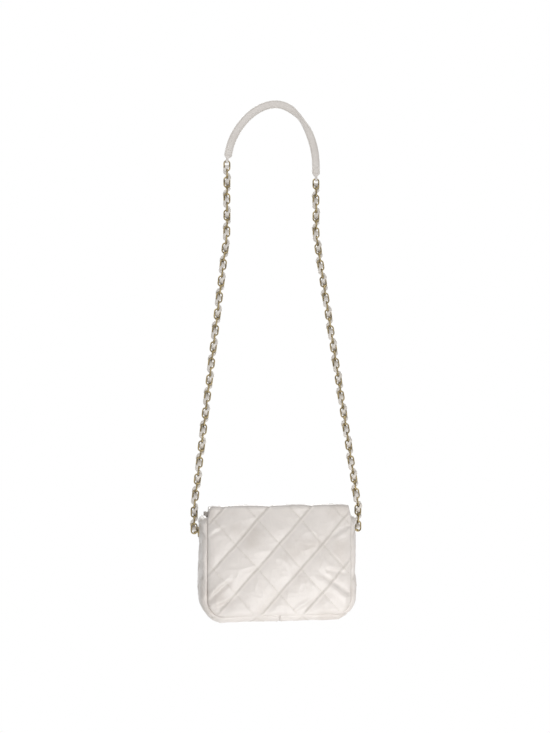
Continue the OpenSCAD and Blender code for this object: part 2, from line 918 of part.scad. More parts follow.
// Stitched end of the band: a tongue goes through the top link and turns back into the end.
module band_end(side) {
    w = top_wire(side);
    neck_h = tongue_hole_r + tongue_t;
    color(LEATHER) hang()
        translate([w[0], 0, w[1]])
            rotate([0, end_lean(side), 0])
                difference() {
                    union() {
                        translate([-band_w / 2, -band_t / 2, neck_h])
                            cube([band_w, band_t, end_l - neck_h]);
                        translate([-tongue_w / 2, -band_t / 2, -tongue_drop])
                            cube([tongue_w, band_t, neck_h + tongue_drop + over]);
                        across(tongue_w)
                            translate([0, -tongue_drop])
                                circle(tongue_hole_r + tongue_t, $fn = facets);
                    }
                    across(2 * band_w)
                        translate([0, -tongue_drop]) circle(tongue_hole_r, $fn = facets);
                }
}

module band_end_left() {
    band_end(-1);
}

module band_end_right() {
    band_end(1);
}

// Point and derivative of a cubic curve through four control points.
function cubic(p, t) =
    pow(1 - t, 3) * p[0] + 3 * t * pow(1 - t, 2) * p[1] + 3 * t * t * (1 - t) * p[2] + pow(t, 3) * p[3];
function cubic_slope(p, t) =
    pow(1 - t, 2) * (p[1] - p[0]) + 2 * t * (1 - t) * (p[2] - p[1]) + t * t * (p[3] - p[2]);

// The band rises from its left end to the crest and falls to its right end.
function rise(side) = crest_h - band_start(side)[1];
function crest_handle(side) = [crest_handle_share * abs(band_start(side)[0]), 0];
left_curve = [
    band_start(-1),
    band_start(-1) + left_handle_share * rise(-1) * [sin(end_left_lean), cos(end_left_lean)],
    crest - crest_handle(-1),
    crest
];
right_curve = [
    crest,
    crest + crest_handle(1),
    band_start(1) + [0, right_handle_share * rise(1)],
    band_start(1)
];
function band_point(t) = t < 0.5 ? cubic(left_curve, 2 * t) : cubic(right_curve, 2 * t - 1);
function band_slope(t) = t < 0.5 ? cubic_slope(left_curve, 2 * t) : cubic_slope(right_curve, 2 * t - 1);
function band_turn(t) =
    band_twist * exp(-pow((t - band_twist_at_share) / band_twist_width_share, 2));

// One half of the band's section, in front of or behind its middle: points as [across, through].
band_half_shares = [[-1, 0], [1, 0], [1, 0.5], [0.8, 1], [-0.8, 1], [-1, 0.5]];
function band_ring(t, face) =
    let (
        p = band_point(t),
        d = band_slope(t) / norm(band_slope(t)),
        turn = band_turn(t),
        side = [d[1], 0, -d[0]],
        wide = side * cos(turn) + [0, sin(turn), 0],
        through = [0, cos(turn), 0] - side * sin(turn)
    )
    [
        for (q = band_half_shares)
            [p[0], 0, p[1]] + q[0] * band_w / 2 * wide + face * q[1] * band_t / 2 * through
    ];

// Half of the band, built of rings from end to end.
module band_half(face) {
    rings = [for (i = [0 : band_rings]) band_ring(i / band_rings, face)];
    ordered = face > 0 ? rings : [for (ring = rings) [for (j = [0 : len(ring) - 1])
        ring[(len(ring) + 1 - j) % len(ring)]]];
    color(LEATHER) hang() ring_sweep(ordered, face < 0);
}

module shoulder_band_front() {
    band_half(-1);
}

module shoulder_band_back() {
    band_half(1);
}

back_panel();
back_wadding();
back_lining();
front_panel();
front_wadding();
front_lining();
mouth_binding();
gusset_left();
gusset_right();
gusset_wadding();
gusset_lining();
base_board();
slip_pocket();
eyelet_left();
eyelet_right();
eyelet_washer_left();
eyelet_washer_right();
snap_socket();
snap_socket_washer();
flap_leather();
flap_wadding();
flap_lining();
snap_stud();
snap_stud_washer();
keeper_bar_left();
keeper_bar_right();
end_link_left();
end_link_right();
chain_lower_left();
chain_lower_right();
ribbon_lower_left();
ribbon_lower_right();
chain_upper_left();
chain_upper_right();
ribbon_upper_left();
ribbon_upper_right();
chain_top_left();
chain_top_right();
ribbon_top_left();
ribbon_top_right();
band_end_left();
band_end_right();
shoulder_band_front();
shoulder_band_back();
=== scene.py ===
"""Looks of a quilted chain shoulder bag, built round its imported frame.

Every piece is in metres in the frame's own axes: the origin is the underside of the shoulder
piece's crest, +Z is up, +X runs across the bag, and the flap closes over the +Y side.
"""

import json
import logging
import math
from dataclasses import dataclass
from enum import Enum

import bpy
import numpy as np
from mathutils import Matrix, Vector


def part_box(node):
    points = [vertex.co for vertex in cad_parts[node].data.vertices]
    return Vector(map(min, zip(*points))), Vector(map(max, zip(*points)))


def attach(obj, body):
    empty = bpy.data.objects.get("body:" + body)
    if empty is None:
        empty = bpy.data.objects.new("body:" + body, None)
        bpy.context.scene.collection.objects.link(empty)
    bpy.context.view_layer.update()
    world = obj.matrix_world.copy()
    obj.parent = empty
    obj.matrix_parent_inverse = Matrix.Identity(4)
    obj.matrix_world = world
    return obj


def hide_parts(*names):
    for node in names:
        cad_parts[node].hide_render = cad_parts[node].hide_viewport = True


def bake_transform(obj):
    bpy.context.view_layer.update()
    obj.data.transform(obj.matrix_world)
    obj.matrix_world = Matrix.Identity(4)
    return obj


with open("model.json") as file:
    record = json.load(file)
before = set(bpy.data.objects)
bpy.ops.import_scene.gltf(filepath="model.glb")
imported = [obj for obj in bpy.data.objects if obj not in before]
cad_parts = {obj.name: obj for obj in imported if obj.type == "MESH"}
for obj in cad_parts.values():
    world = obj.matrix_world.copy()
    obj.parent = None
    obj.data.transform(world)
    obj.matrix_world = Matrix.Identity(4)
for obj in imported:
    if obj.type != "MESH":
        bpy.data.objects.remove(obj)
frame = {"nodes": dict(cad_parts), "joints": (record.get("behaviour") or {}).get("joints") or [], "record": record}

Array = np.ndarray
Piece = bpy.types.Object
Material = bpy.types.Material
Socket = bpy.types.NodeSocket

MM = 0.001
FLAP_PADDING = 4.4 * MM  # leather and wadding of the flap, over its lining
CROSSING_Z = 103.6 * MM  # height over the base where sewn lines of back and front cross
SEWN_STEP = 0.8 * MM  # between the points that a sewn line is followed by
SEWN_LIFT = 0.1 * MM  # of a stitch's middle over the leather
SEAM_MARGIN = 2.2 * MM  # that the quilting's sewing keeps from a seam
SEAM_SHADE_W = 2.5 * MM  # width of the darker line along a seam
LEATHER_EDGE = 0.8 * MM  # least thickness of leather and padding together
WHITE = (1.0, 1.0, 1.0, 1.0)
THROUGH = np.array([0.0, 1.0, 0.0])  # the way through the bag, from back to front
log = logging.getLogger("bag")


class Side(Enum):
    """Side of the bag, as the sign of its x."""

    LEFT = -1
    RIGHT = 1

    @property
    def label(self) -> str:
        """Name of the side, as the frame's nodes use it."""
        return self.name.lower()


class Body(str, Enum):
    """Moving bodies of the frame."""

    SHOULDER = "shoulder"
    CHAIN_UPPER = "chain_upper"
    CHAIN_LOWER = "chain_lower"
    BAG = "bag"
    FLAP = "flap"


class Slot(str, Enum):
    """Material slots of the frame's record."""

    LEATHER = "ivory_leather"
    RIBBON = "ribbon_leather"
    WADDING = "wadding"
    LINING = "lining_cloth"
    GOLD = "gold_metal"
    STEEL = "plain_steel"
    BOARD = "board"


# Finishes


class NodeSketch:
    """Nodes of a material or of the world, put together one at a time."""

    def __init__(self, name: str, world: bool = False) -> None:
        """Start an empty node tree with an output and coordinates.

        Args:
            name: Name of the material or world.
            world: Whether it is a world.
        """
        self.holder = (bpy.data.worlds if world else bpy.data.materials).new(name)
        self.holder.use_nodes = True
        self.nodes, self.links = self.holder.node_tree.nodes, self.holder.node_tree.links
        self.nodes.clear()
        self.output = self.nodes.new("ShaderNodeOutputWorld" if world else "ShaderNodeOutputMaterial")
        self.place = self.nodes.new("ShaderNodeTexCoord").outputs["Generated" if world else "Object"]

    def add(
        self, kind: str, settings: dict | None = None, numbered: dict | None = None, **inputs: object
    ) -> bpy.types.Node:
        """Add one node.

        Args:
            kind: Node type after "ShaderNode".
            settings: Properties of the node itself.
            numbered: Inputs by number, each a value or a socket to link.
            **inputs: Inputs by name, with spaces as underscores.

        Returns:
            The new node.
        """
        node = self.nodes.new("ShaderNode" + kind)
        for key, value in (settings or {}).items():
            setattr(node, key, value)
        named = {key.replace("_", " "): value for key, value in inputs.items()}
        for key, value in {**(numbered or {}), **named}.items():
            socket = node.inputs[key]
            if isinstance(value, Socket):
                self.links.new(value, socket)
            else:
                socket.default_value = value
        return node

    def noise(self, scale: float, detail: float = 2.0, **inputs: object) -> Socket:
        """Return the height of a noise texture on object coordinates."""
        given = {"Vector": self.place, **inputs}
        return self.add("TexNoise", Scale=scale, Detail=detail, **given).outputs["Fac"]

    def ramp(self, source: Socket, stops: list[tuple[float, tuple]]) -> Socket:
        """Return a colour that follows a value.

        Args:
            source: Value from 0 to 1.
            stops: Pairs of place and linear colour.
        """
        node = self.add("ValToRGB", Fac=source)
        band = node.color_ramp.elements
        while len(band) < len(stops):
            band.new(0.5)
        for element, (at, color) in zip(band, stops):
            element.position = at
            element.color = (*color, 1.0)
        return node.outputs["Color"]

    def remap(self, source: Socket, low: float, high: float) -> Socket:
        """Return a value from 0 to 1 spread between low and high."""
        return self.add("MapRange", Value=source, To_Min=low, To_Max=high).outputs["Result"]

    def bump(
        self, height: Socket, depth: float, strength: float, below: Socket | None = None
    ) -> Socket:
        """Return a normal that is bumped by a height.

        Args:
            height: Height from 0 to 1.
            depth: Height in metres that 1 stands for.
            strength: Share of the bump that shows.
            below: Normal of a coarser bump that this one lies on.
        """
        given = {"Height": height, "Strength": strength, "Distance": depth}
        if below is not None:
            given["Normal"] = below
        return self.add("Bump", **given).outputs["Normal"]

    def mix(self, share: object, first: object, second: object) -> Socket:
        """Return a colour between two colours, by a share from 0 to 1."""
        return self.add("Mix", {"data_type": "RGBA"}, {0: share, 6: first, 7: second}).outputs[2]

    def combine(self, operation: str, first: Socket, second: Socket) -> Socket:
        """Return what a Math node makes of two values."""
        return self.add("Math", {"operation": operation}, {0: first, 1: second}).outputs[0]

    def show_camera(self, lit: Socket, shown: Socket) -> None:
        """Close the tree with one shader for the light and another for the camera.

        Args:
            lit: Shader that the light meets.
            shown: Shader that the camera sees, straight or by way of gloss or glass.
        """
        rays = self.add("LightPath")
        share = rays.outputs["Is Camera Ray"]
        for kind in ("Is Glossy Ray", "Is Transmission Ray"):
            share = self.combine("MAXIMUM", share, rays.outputs[kind])
        blend = self.add("MixShader", None, {0: share, 1: lit, 2: shown})
        self.links.new(blend.outputs["Shader"], self.output.inputs["Surface"])

    def finish(self, **inputs: object) -> Material:
        """Close the material with a principled shader.

        Args:
            **inputs: Sockets of the shader.

        Returns:
            The finished material.
        """
        shader = self.add("BsdfPrincipled", **inputs)
        self.links.new(shader.outputs["BSDF"], self.output.inputs["Surface"])
        return self.holder


def toned(color: tuple[float, ...], factor: float) -> tuple[float, ...]:
    """Return a colour made lighter or darker by a factor, and never past 1."""
    return tuple(min(1.0, part * factor) for part in color)


@dataclass(frozen=True)
class LeatherFinish:
    """Glossy leather with fine grain and soft crumples, painted shade in sewn channels and painted highlights."""

    name: str
    base: tuple[float, float, float]
    shade: tuple[float, float, float]
    rough_low: float = 0.27
    rough_high: float = 0.43
    coat: float = 0.22
    crumple: float = 0.5
    pores: float = 0.3
    grain_per_m: float = 950.0
    patch_tone: float = 1.035
    # Darkening of the painted shade and lightening of the painted highlight, as factors of the colours.
    channel_tone: float = 0.8
    painted_highlight_tone: float = 1.1

    def build(self) -> Material:
        """Return the material."""
        sketch = NodeSketch(self.name)
        light, dark = toned(self.base, self.patch_tone), toned(self.shade, self.channel_tone)
        patches = sketch.noise(24.0, 4.0, Roughness=0.6)
        tone = sketch.ramp(patches, [(0.34, self.shade), (0.52, self.base), (0.7, light)])
        channel = sketch.add("Attribute", {"attribute_name": "channel"}).outputs["Fac"]
        # Painted shade: the colour is darkened where the point attribute is above 0, in channels, seams and
        # hollows.
        painted_tone = sketch.mix(sketch.remap(channel, 0.0, 0.55), tone, (*dark, 1.0))
        # Painted highlight: the colour is lightened where the point attribute is below 0, beside the rising sewn
        # lines.
        edge = sketch.add("MapRange", Value=channel, From_Min=0.0, From_Max=-0.5).outputs["Result"]
        painted_tone = sketch.mix(edge, painted_tone, (*toned(self.base, self.painted_highlight_tone), 1.0))
        grain = {"Vector": sketch.place, "Scale": self.grain_per_m}
        pores = sketch.add("TexVoronoi", {"feature": "DISTANCE_TO_EDGE"}, **grain).outputs["Distance"]
        ridged = {"Scale": 62.0, "Detail": 3.0, "Roughness": 0.55, "Lacunarity": 2.1, "Distortion": 0.5}
        ridged["Vector"] = sketch.place
        crumples = sketch.add("TexNoise", {"noise_type": "RIDGED_MULTIFRACTAL"}, **ridged).outputs["Fac"]
        soft = sketch.noise(150.0, 4.0, Roughness=0.6, Distortion=0.4)
        normal = sketch.bump(crumples, 0.0007, self.crumple)
        normal = sketch.bump(soft, 0.0006, 0.5 * self.crumple, normal)
        normal = sketch.bump(pores, 0.00012, self.pores, normal)
        rough = sketch.remap(sketch.noise(70.0, 3.0), self.rough_low, self.rough_high)
        coat = {"Coat_Weight": self.coat, "Coat_Roughness": 0.18, "Specular_IOR_Level": 0.45}
        return sketch.finish(Base_Color=painted_tone, Roughness=rough, Normal=normal, **coat)


@dataclass(frozen=True)
class MetalFinish:
    """Plated or bare metal with a little tarnish and fine scratches."""

    name: str
    bright: tuple[float, float, float]
    dull: tuple[float, float, float]
    rough_low: float = 0.2
    rough_high: float = 0.36

    def build(self) -> Material:
        """Return the material."""
        sketch = NodeSketch(self.name)
        tarnish = sketch.noise(260.0, 5.0, Roughness=0.65)
        tone = sketch.ramp(tarnish, [(0.35, self.dull), (0.6, self.bright)])
        rough = sketch.remap(sketch.noise(420.0, 3.0), self.rough_low, self.rough_high)
        scratches = sketch.bump(sketch.noise(2600.0, 2.0), 0.00004, 0.35)
        return sketch.finish(Base_Color=tone, Metallic=1.0, Roughness=rough, Normal=scratches)


@dataclass(frozen=True)
class ClothFinish:
    """Plain woven cloth, or loose padding where the weave is coarse and soft."""

    name: str
    base: tuple[float, float, float]
    shade: tuple[float, float, float]
    threads_per_m: float = 1500.0
    weave: float = 0.6

    def build(self) -> Material:
        """Return the material."""
        sketch = NodeSketch(self.name)
        wave = {"Vector": sketch.place, "Scale": self.threads_per_m / 20.0, "Distortion": 0.6, "Detail": 1.0}
        across, up = (
            sketch.add("TexWave", {"bands_direction": way}, **wave).outputs["Fac"] for way in ("X", "Z")
        )
        crossing = sketch.combine("MULTIPLY", across, up)
        tone = sketch.ramp(sketch.noise(60.0, 4.0), [(0.3, self.shade), (0.65, self.base)])
        thread = sketch.mix(sketch.remap(crossing, 0.0, 0.35), (*self.shade, 1.0), tone)
        normal = sketch.bump(sketch.noise(90.0, 3.0), 0.0006, 0.3)
        normal = sketch.bump(crossing, 0.00015, self.weave, normal)
        sheen = {"Sheen_Weight": 0.25, "Sheen_Roughness": 0.5}
        return sketch.finish(Base_Color=thread, Roughness=0.88, Normal=normal, **sheen)


@dataclass(frozen=True)
class PlainFinish:
    """Pressed board or sewing thread: a matt surface with a fibre."""

    name: str
    base: tuple[float, float, float]
    shade: tuple[float, float, float]
    fibres_per_m: float = 700.0
    roughness: float = 0.7

    def build(self) -> Material:
        """Return the material."""
        sketch = NodeSketch(self.name)
        fibre = sketch.noise(self.fibres_per_m, 4.0, Distortion=1.2)
        tone = sketch.ramp(fibre, [(0.35, self.shade), (0.65, self.base)])
        normal = sketch.bump(fibre, 0.0001, 0.5)
        return sketch.finish(Base_Color=tone, Roughness=self.roughness, Normal=normal)


class Wardrobe:
    """All the finishes of the bag, built once."""

    def __init__(self) -> None:
        """Build every material."""
        self.leather = LeatherFinish("ivory_leather", (0.79, 0.735, 0.69), (0.71, 0.65, 0.60)).build()
        smooth = {"crumple": 0.1, "pores": 0.06, "grain_per_m": 1300.0}
        self.smooth_leather = LeatherFinish(
            "band_leather", (0.87, 0.815, 0.765), (0.82, 0.76, 0.71), **smooth
        ).build()
        soft = {"crumple": 0.08, "pores": 0.1, "grain_per_m": 1500.0}
        self.ribbon_leather = LeatherFinish(
            "ribbon_leather", (0.83, 0.775, 0.71), (0.76, 0.70, 0.62), **soft
        ).build()
        self.lining = ClothFinish("lining_cloth", (0.56, 0.48, 0.38), (0.42, 0.35, 0.27)).build()
        self.wadding = ClothFinish(
            "wadding", (0.85, 0.85, 0.83), (0.74, 0.74, 0.72), threads_per_m=400.0, weave=0.2
        ).build()
        self.gold = MetalFinish("antique_gold", (0.44, 0.35, 0.19), (0.13, 0.10, 0.05)).build()
        self.steel = MetalFinish(
            "plain_steel", (0.62, 0.61, 0.58), (0.48, 0.47, 0.45), rough_low=0.3, rough_high=0.45
        ).build()
        self.board = PlainFinish("pressed_board", (0.42, 0.34, 0.25), (0.30, 0.24, 0.17)).build()
        self.thread = PlainFinish(
            "ivory_thread", (0.80, 0.76, 0.69), (0.62, 0.57, 0.49), fibres_per_m=3500.0, roughness=0.55
        ).build()

    def for_slot(self, slot: str) -> Material:
        """Return the finish of a material slot of the frame's record.

        Args:
            slot: Name of the slot.
        """
        return {
            Slot.LEATHER: self.leather,
            Slot.RIBBON: self.ribbon_leather,
            Slot.WADDING: self.wadding,
            Slot.LINING: self.lining,
            Slot.GOLD: self.gold,
            Slot.STEEL: self.steel,
            Slot.BOARD: self.board,
        }[Slot(slot)]

    def dress_frame(self) -> None:
        """Give each node of the frame the finish that the record names for it."""
        for part in frame["record"]["subparts"]:
            node = frame["nodes"][part["node"]]
            node.data.materials.clear()
            node.data.materials.append(self.for_slot(part["material_slot"]))


# Mesh helpers


def deselect_all() -> None:
    """Leave edit mode and deselect every object."""
    if bpy.context.object is not None and bpy.context.object.mode != "OBJECT":
        bpy.ops.object.mode_set(mode="OBJECT")
    bpy.ops.object.select_all(action="DESELECT")


def make_active(piece: Piece) -> None:
    """Select one object alone.

    Args:
        piece: Object to select.
    """
    deselect_all()
    piece.select_set(True)
    bpy.context.view_layer.objects.active = piece


def tidy_mesh(piece: Piece, weld: float = 1e-6) -> None:
    """Weld doubled points of a closed mesh and point its faces outwards.

    Args:
        piece: Object to tidy.
        weld: Distance below which points are one, or 0 to weld none.
    """
    make_active(piece)
    bpy.ops.object.mode_set(mode="EDIT")
    bpy.ops.mesh.select_all(action="SELECT")
    if weld:
        bpy.ops.mesh.remove_doubles(threshold=weld)
    bpy.ops.mesh.normals_make_consistent(inside=False)
    bpy.ops.object.mode_set(mode="OBJECT")


def new_piece(name: str, points: Array, faces: list, material: Material | None) -> Piece:
    """Make an object of points and faces.

    Args:
        name: Name of the piece.
        points: Points, one row each.
        faces: Lists of point numbers.
        material: Its finish, if it needs one.

    Returns:
        The new object, smooth shaded.
    """
    mesh = bpy.data.meshes.new(name)
    mesh.from_pydata(points.reshape(-1, 3).tolist(), [], faces)
    mesh.materials.append(material)
    piece = bpy.data.objects.new(name, mesh)
    bpy.context.scene.collection.objects.link(piece)
    mesh.shade_smooth()
    return piece


def set_channel(piece: Piece, values: Array) -> None:
    """Store each point's painted light: 1 for painted shade in a sewn channel, 0 away from it, -0.5 for a painted
    highlight beside it.
    """
    channel = piece.data.attributes.new("channel", "FLOAT", "POINT")
    channel.data.foreach_set("value", values.astype(np.float32).ravel())


def grid_faces(rows: int, columns: int, start: int = 0, closed: bool = False) -> list[list[int]]:
    """Return the quads of a grid of points that are numbered row by row.

    Args:
        rows: Rows of points.
        columns: Points in a row.
        start: Number of the first point.
        closed: Whether each row runs round to its own first point.
    """
    i, j = np.meshgrid(np.arange(rows - 1), np.arange(columns if closed else columns - 1), indexing="ij")
    k = (j + 1) % columns
    quads = np.stack([i * columns + j, i * columns + k, (i + 1) * columns + k, (i + 1) * columns + j], -1)
    return (quads.reshape(-1, 4) + start).tolist()


def tube_faces(rings: int, around: int, start: int = 0) -> list[list[int]]:
    """Return the quads of a tube of rings, and its two flat ends.

    Args:
        rings: Rings of points.
        around: Points in a ring.
        start: Number of the first point.
    """
    last = start + (rings - 1) * around
    ends = [list(range(start, start + around))[::-1], list(range(last, last + around))]
    return grid_faces(rings, around, start, closed=True) + ends


def closed_sheet(
    name: str, outer: Array, inner: Array, material: Material, channel: Array | None = None
) -> Piece:
    """Make one closed piece of two grids of points that lie over each other.

    Args:
        name: Name of the piece.
        outer: Outer face, as rows by columns by 3.
        inner: Inner face, of the same size.
        material: Its finish.
        channel: Painted shade and highlight of each outer point, as set_channel takes it.

    Returns:
        The new object, with its faces pointing outwards.
    """
    rows, columns = outer.shape[:2]
    count = rows * columns
    faces = grid_faces(rows, columns) + [f[::-1] for f in grid_faces(rows, columns, count)]
    number = np.arange(count).reshape(rows, columns)
    rim = np.concatenate([number[0, :-1], number[:-1, -1], number[-1, :0:-1], number[:0:-1, 0]])
    after = np.roll(rim, -1)
    faces += np.stack([after, rim, rim + count, after + count], -1).tolist()
    piece = new_piece(name, np.concatenate([outer, inner]), faces, material)
    values = np.zeros(2 * count)
    if channel is not None:
        values[:count] = channel.ravel()
    set_channel(piece, values)
    tidy_mesh(piece)
    return piece


def sweep(name: str, rings: Array, material: Material, channel: Array | None = None) -> Piece:
    """Make a closed piece of rings of points, with flat ends.

    Args:
        name: Name of the piece.
        rings: Rings by points by 3.
        material: Its finish.
        channel: Painted shade and highlight of each point, as set_channel takes it.

    Returns:
        The new object.
    """
    count, around = rings.shape[:2]
    piece = new_piece(name, rings, tube_faces(count, around), material)
    set_channel(piece, np.zeros(count * around) if channel is None else channel)
    tidy_mesh(piece)
    return piece


def ripple(u: Array, v: Array, wave: float, seed: int) -> Array:
    """Return smooth random heights from -1 to 1 over two coordinates.

    Args:
        u: First coordinate.
        v: Second coordinate.
        wave: Distance between the random values that are joined up.
        seed: Number of the pattern.
    """
    size = 64
    table = np.random.default_rng(seed).uniform(-1.0, 1.0, (size, size))
    a, b = np.asarray(u) / wave, np.asarray(v) / wave
    i, j = np.floor(a).astype(int), np.floor(b).astype(int)
    f, g = a - i, b - j
    f, g = f * f * f * (f * (6 * f - 15) + 10), g * g * g * (g * (6 * g - 15) + 10)
    i0, i1, j0, j1 = i % size, (i + 1) % size, j % size, (j + 1) % size
    low = table[i0, j0] * (1 - f) + table[i1, j0] * f
    high = table[i0, j1] * (1 - f) + table[i1, j1] * f
    return low * (1 - g) + high * g


def folds(u: Array, v: Array, wave: float, seed: int) -> Array:
    """Return crumples from 0 to 1 with sharp crests, over two coordinates.

    Args:
        u: First coordinate.
        v: Second coordinate.
        wave: Distance between crumples.
        seed: Number of the pattern.
    """
    bent_u = u + 0.45 * wave * ripple(u, v, 1.3 * wave, seed + 1)
    bent_v = v + 0.45 * wave * ripple(u, v, 1.3 * wave, seed + 2)
    return (1 - np.abs(ripple(bent_u, bent_v, wave, seed))) ** 2.2


def smooth(value: Array, low: float, high: float) -> Array:
    """Return 0 below low, 1 above high and an even rise between."""
    t = np.clip((value - low) / (high - low), 0.0, 1.0)
    return t * t * (3 - 2 * t)


def bell(value: Array, width: float) -> Array:
    """Return 1 where the value is 0, falling off to both sides over a width."""
    return np.exp(-((value / width) ** 2))


def signed_power(value: Array, power: float) -> Array:
    """Return values raised to a power with their signs kept, which squares a circle's sides."""
    return np.sign(value) * np.abs(value) ** power


def full_turn(count: int, offset: float = 0.0) -> Array:
    """Return even angles round a circle, the first of them offset by a share of their step."""
    return 2 * np.pi * (np.arange(count) + offset) / count


def seam_pull(across: Array) -> Array:
    """Return how hard the seam draws the leather in, which is most at the bag's left side; it also scales the
    painted shade along the seam.
    """
    return 0.12 + 0.88 * smooth(-across, 0.03, 0.09)


def roll_off(distance: Array, width: float) -> Array:
    """Return a rounded edge: 0 at the edge and 1 from width inwards."""
    return np.sqrt(np.clip(1 - (1 - np.clip(distance / width, 0.0, 1.0)) ** 2, 0.0, 1.0))


def inset(
    u: Array, v: Array, half_w: float | Array, low: float, high: float, low_r: float = 0, high_r: float = 0
) -> Array:
    """Return the distance in from an upright outline with rounded corners.

    Args:
        u: Place across.
        v: Place up.
        half_w: Half the outline's width.
        low: Its lower edge.
        high: Its upper edge.
        low_r: Radius of the lower corners.
        high_r: Radius of the upper corners.
    """
    inside = np.minimum(half_w - np.abs(u), np.minimum(v - low, high - v))
    for radius, along in ((low_r, v - low), (high_r, high - v)):
        over_u = np.abs(u) - (half_w - radius)
        over_v = radius - along
        inside = np.where((over_u > 0) & (over_v > 0), radius - np.hypot(over_u, over_v), inside)
    return inside


def rounded_rows(low: float, high: float, step: float, low_r: float = 0.0, high_r: float = 0.0) -> Array:
    """Return row places from low to high, closer together where rounded corners curve.

    Args:
        low: First place.
        high: Last place.
        step: Distance between rows.
        low_r: Radius of the lower corners.
        high_r: Radius of the upper corners.
    """
    start = low + low_r * (1 - np.cos(np.linspace(0, 0.7, 8))) if low_r else np.array([low])
    end = high - high_r * (1 - np.cos(np.linspace(0.7, 0, 12))) if high_r else np.array([high])
    middle = np.linspace(start[-1], end[0], max(2, round((end[0] - start[-1]) / step) + 1))
    return np.concatenate([start[:-1], middle, end[1:]])


def soften(values: Array) -> Array:
    """Return rows of values with each row averaged with its neighbours."""
    padded = np.concatenate([values[:1], values, values[-1:]])
    return 0.25 * padded[:-2] + 0.5 * padded[1:-1] + 0.25 * padded[2:]


def corner_loss(distance: Array, radius: float) -> Array:
    """Return how much a rounded corner takes off the half width, at a distance from its edge."""
    reach = np.clip(radius - distance, 0, radius)
    return radius - np.sqrt(np.clip(radius**2 - reach**2, 0, None))


def join_pieces(name: str, piece: Piece, other: Piece) -> Piece:
    """Join two pieces into one object.

    Args:
        name: Name of the joined piece.
        piece: First piece, which takes in the other.
        other: Second piece.

    Returns:
        The joined object.
    """
    make_active(piece)
    other.select_set(True)
    bpy.ops.object.join()
    piece.name = piece.data.name = name
    return piece


def report(piece: Piece) -> None:
    """Log a finished piece."""
    log.info("%s: %d points", piece.name, len(piece.data.vertices))


def place_piece(piece: Piece, body: Body, slot: Slot, *replaced: str) -> None:
    """Let a piece ride on a body, in place of the nodes that it stands for.

    Args:
        piece: Finished piece.
        body: Body that it rides on.
        slot: Its material slot; not used.
        *replaced: Nodes of the frame.
    """
    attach(piece, body.value)
    if replaced:
        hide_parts(*replaced)
    report(piece)


def bore(piece: Piece, start: Vector, end: Vector, radius: float) -> None:
    """Cut a round hole through a piece.

    Args:
        piece: Closed object to cut.
        start: One end of the hole's axis.
        end: The other end.
        radius: Radius of the hole.
    """
    axis = end - start
    deselect_all()
    bpy.ops.mesh.primitive_cylinder_add(
        vertices=48,
        radius=radius,
        depth=axis.length,
        location=(start + end) / 2,
        rotation=axis.to_track_quat("Z", "Y").to_euler(),
    )
    cutter = bpy.context.object
    cut = piece.modifiers.new("bore", "BOOLEAN")
    cut.operation = "DIFFERENCE"
    cut.solver = "EXACT"
    cut.object = cutter
    make_active(piece)
    bpy.ops.object.modifier_apply(modifier=cut.name)
    bpy.data.objects.remove(cutter, do_unlink=True)


@dataclass(frozen=True)
class Thread:
    """Sewing thread, laid as rows of short raised stitches."""

    material: Material
    stitch: float = 2.3 * MM
    gap: float = 0.8 * MM
    radius: float = 0.3 * MM
    around: int = 6

    def spaced(self, points: Array) -> Array:
        """Return the places of stitch ends along a line of points, as shares of its index.

        Args:
            points: Points of the line.
        """
        steps = np.linalg.norm(np.diff(points, axis=0), axis=1)
        run = np.concatenate([[0], np.cumsum(steps)])
        starts = np.arange(0.5 * self.gap, run[-1] - self.stitch, self.stitch + self.gap)
        places = [np.interp(at, run, np.arange(len(run))) for at in (starts, starts + self.stitch)]
        return np.stack(places, -1)

    def rows(self, name: str, lines: list[tuple[Array, Array]]) -> Piece:
        """Sew along lines.

        Args:
            name: Name of the piece.
            lines: For each row, its points on the surface and the surface's normals there.

        Returns:
            All the stitches as one object.
        """
        starts, ends, normals = [], [], []
        for points, facing in lines:
            if len(points) < 2:
                continue
            index = np.arange(len(points))
            for a, b in self.spaced(points):
                starts.append([np.interp(a, index, points[:, c]) for c in range(3)])
                ends.append([np.interp(b, index, points[:, c]) for c in range(3)])
                normals.append([np.interp((a + b) / 2, index, facing[:, c]) for c in range(3)])
        start, end, up = np.array(starts), np.array(ends), np.array(normals)
        along = end - start
        along /= np.linalg.norm(along, axis=1, keepdims=True)
        up -= along * np.sum(up * along, axis=1, keepdims=True)
        up /= np.linalg.norm(up, axis=1, keepdims=True)
        side = np.cross(along, up)
        shares = np.array([0.0, 0.14, 0.4, 0.6, 0.86, 1.0])
        widths = np.array([0.25, 0.8, 1.0, 1.0, 0.8, 0.25]) * self.radius
        lifts = np.array([-0.6, 0.0, 0.35, 0.35, 0.0, -0.6]) * self.radius
        turn = full_turn(self.around)
        centre = start[:, None] + shares[:, None] * (end - start)[:, None] + lifts[:, None] * up[:, None]
        ring = np.cos(turn)[:, None] * side[:, None, None] + np.sin(turn)[:, None] * up[:, None, None]
        points = centre[:, :, None] + widths[:, None, None] * ring
        faces = []
        for number in range(len(start)):
            faces += tube_faces(len(shares), self.around, number * len(shares) * self.around)
        piece = new_piece(name, points, faces, self.material)
        tidy_mesh(piece, weld=0.0)
        return piece


def sewn_row(
    x: Array | float, y: Array | float, z: Array | float, facing: Array
) -> tuple[Array, Array]:
    """Return the points of a sewn line, and the one way that its surface faces."""
    points = np.stack(np.broadcast_arrays(x, y, z), -1)
    return points, np.tile(facing, (len(points), 1))


# The bag


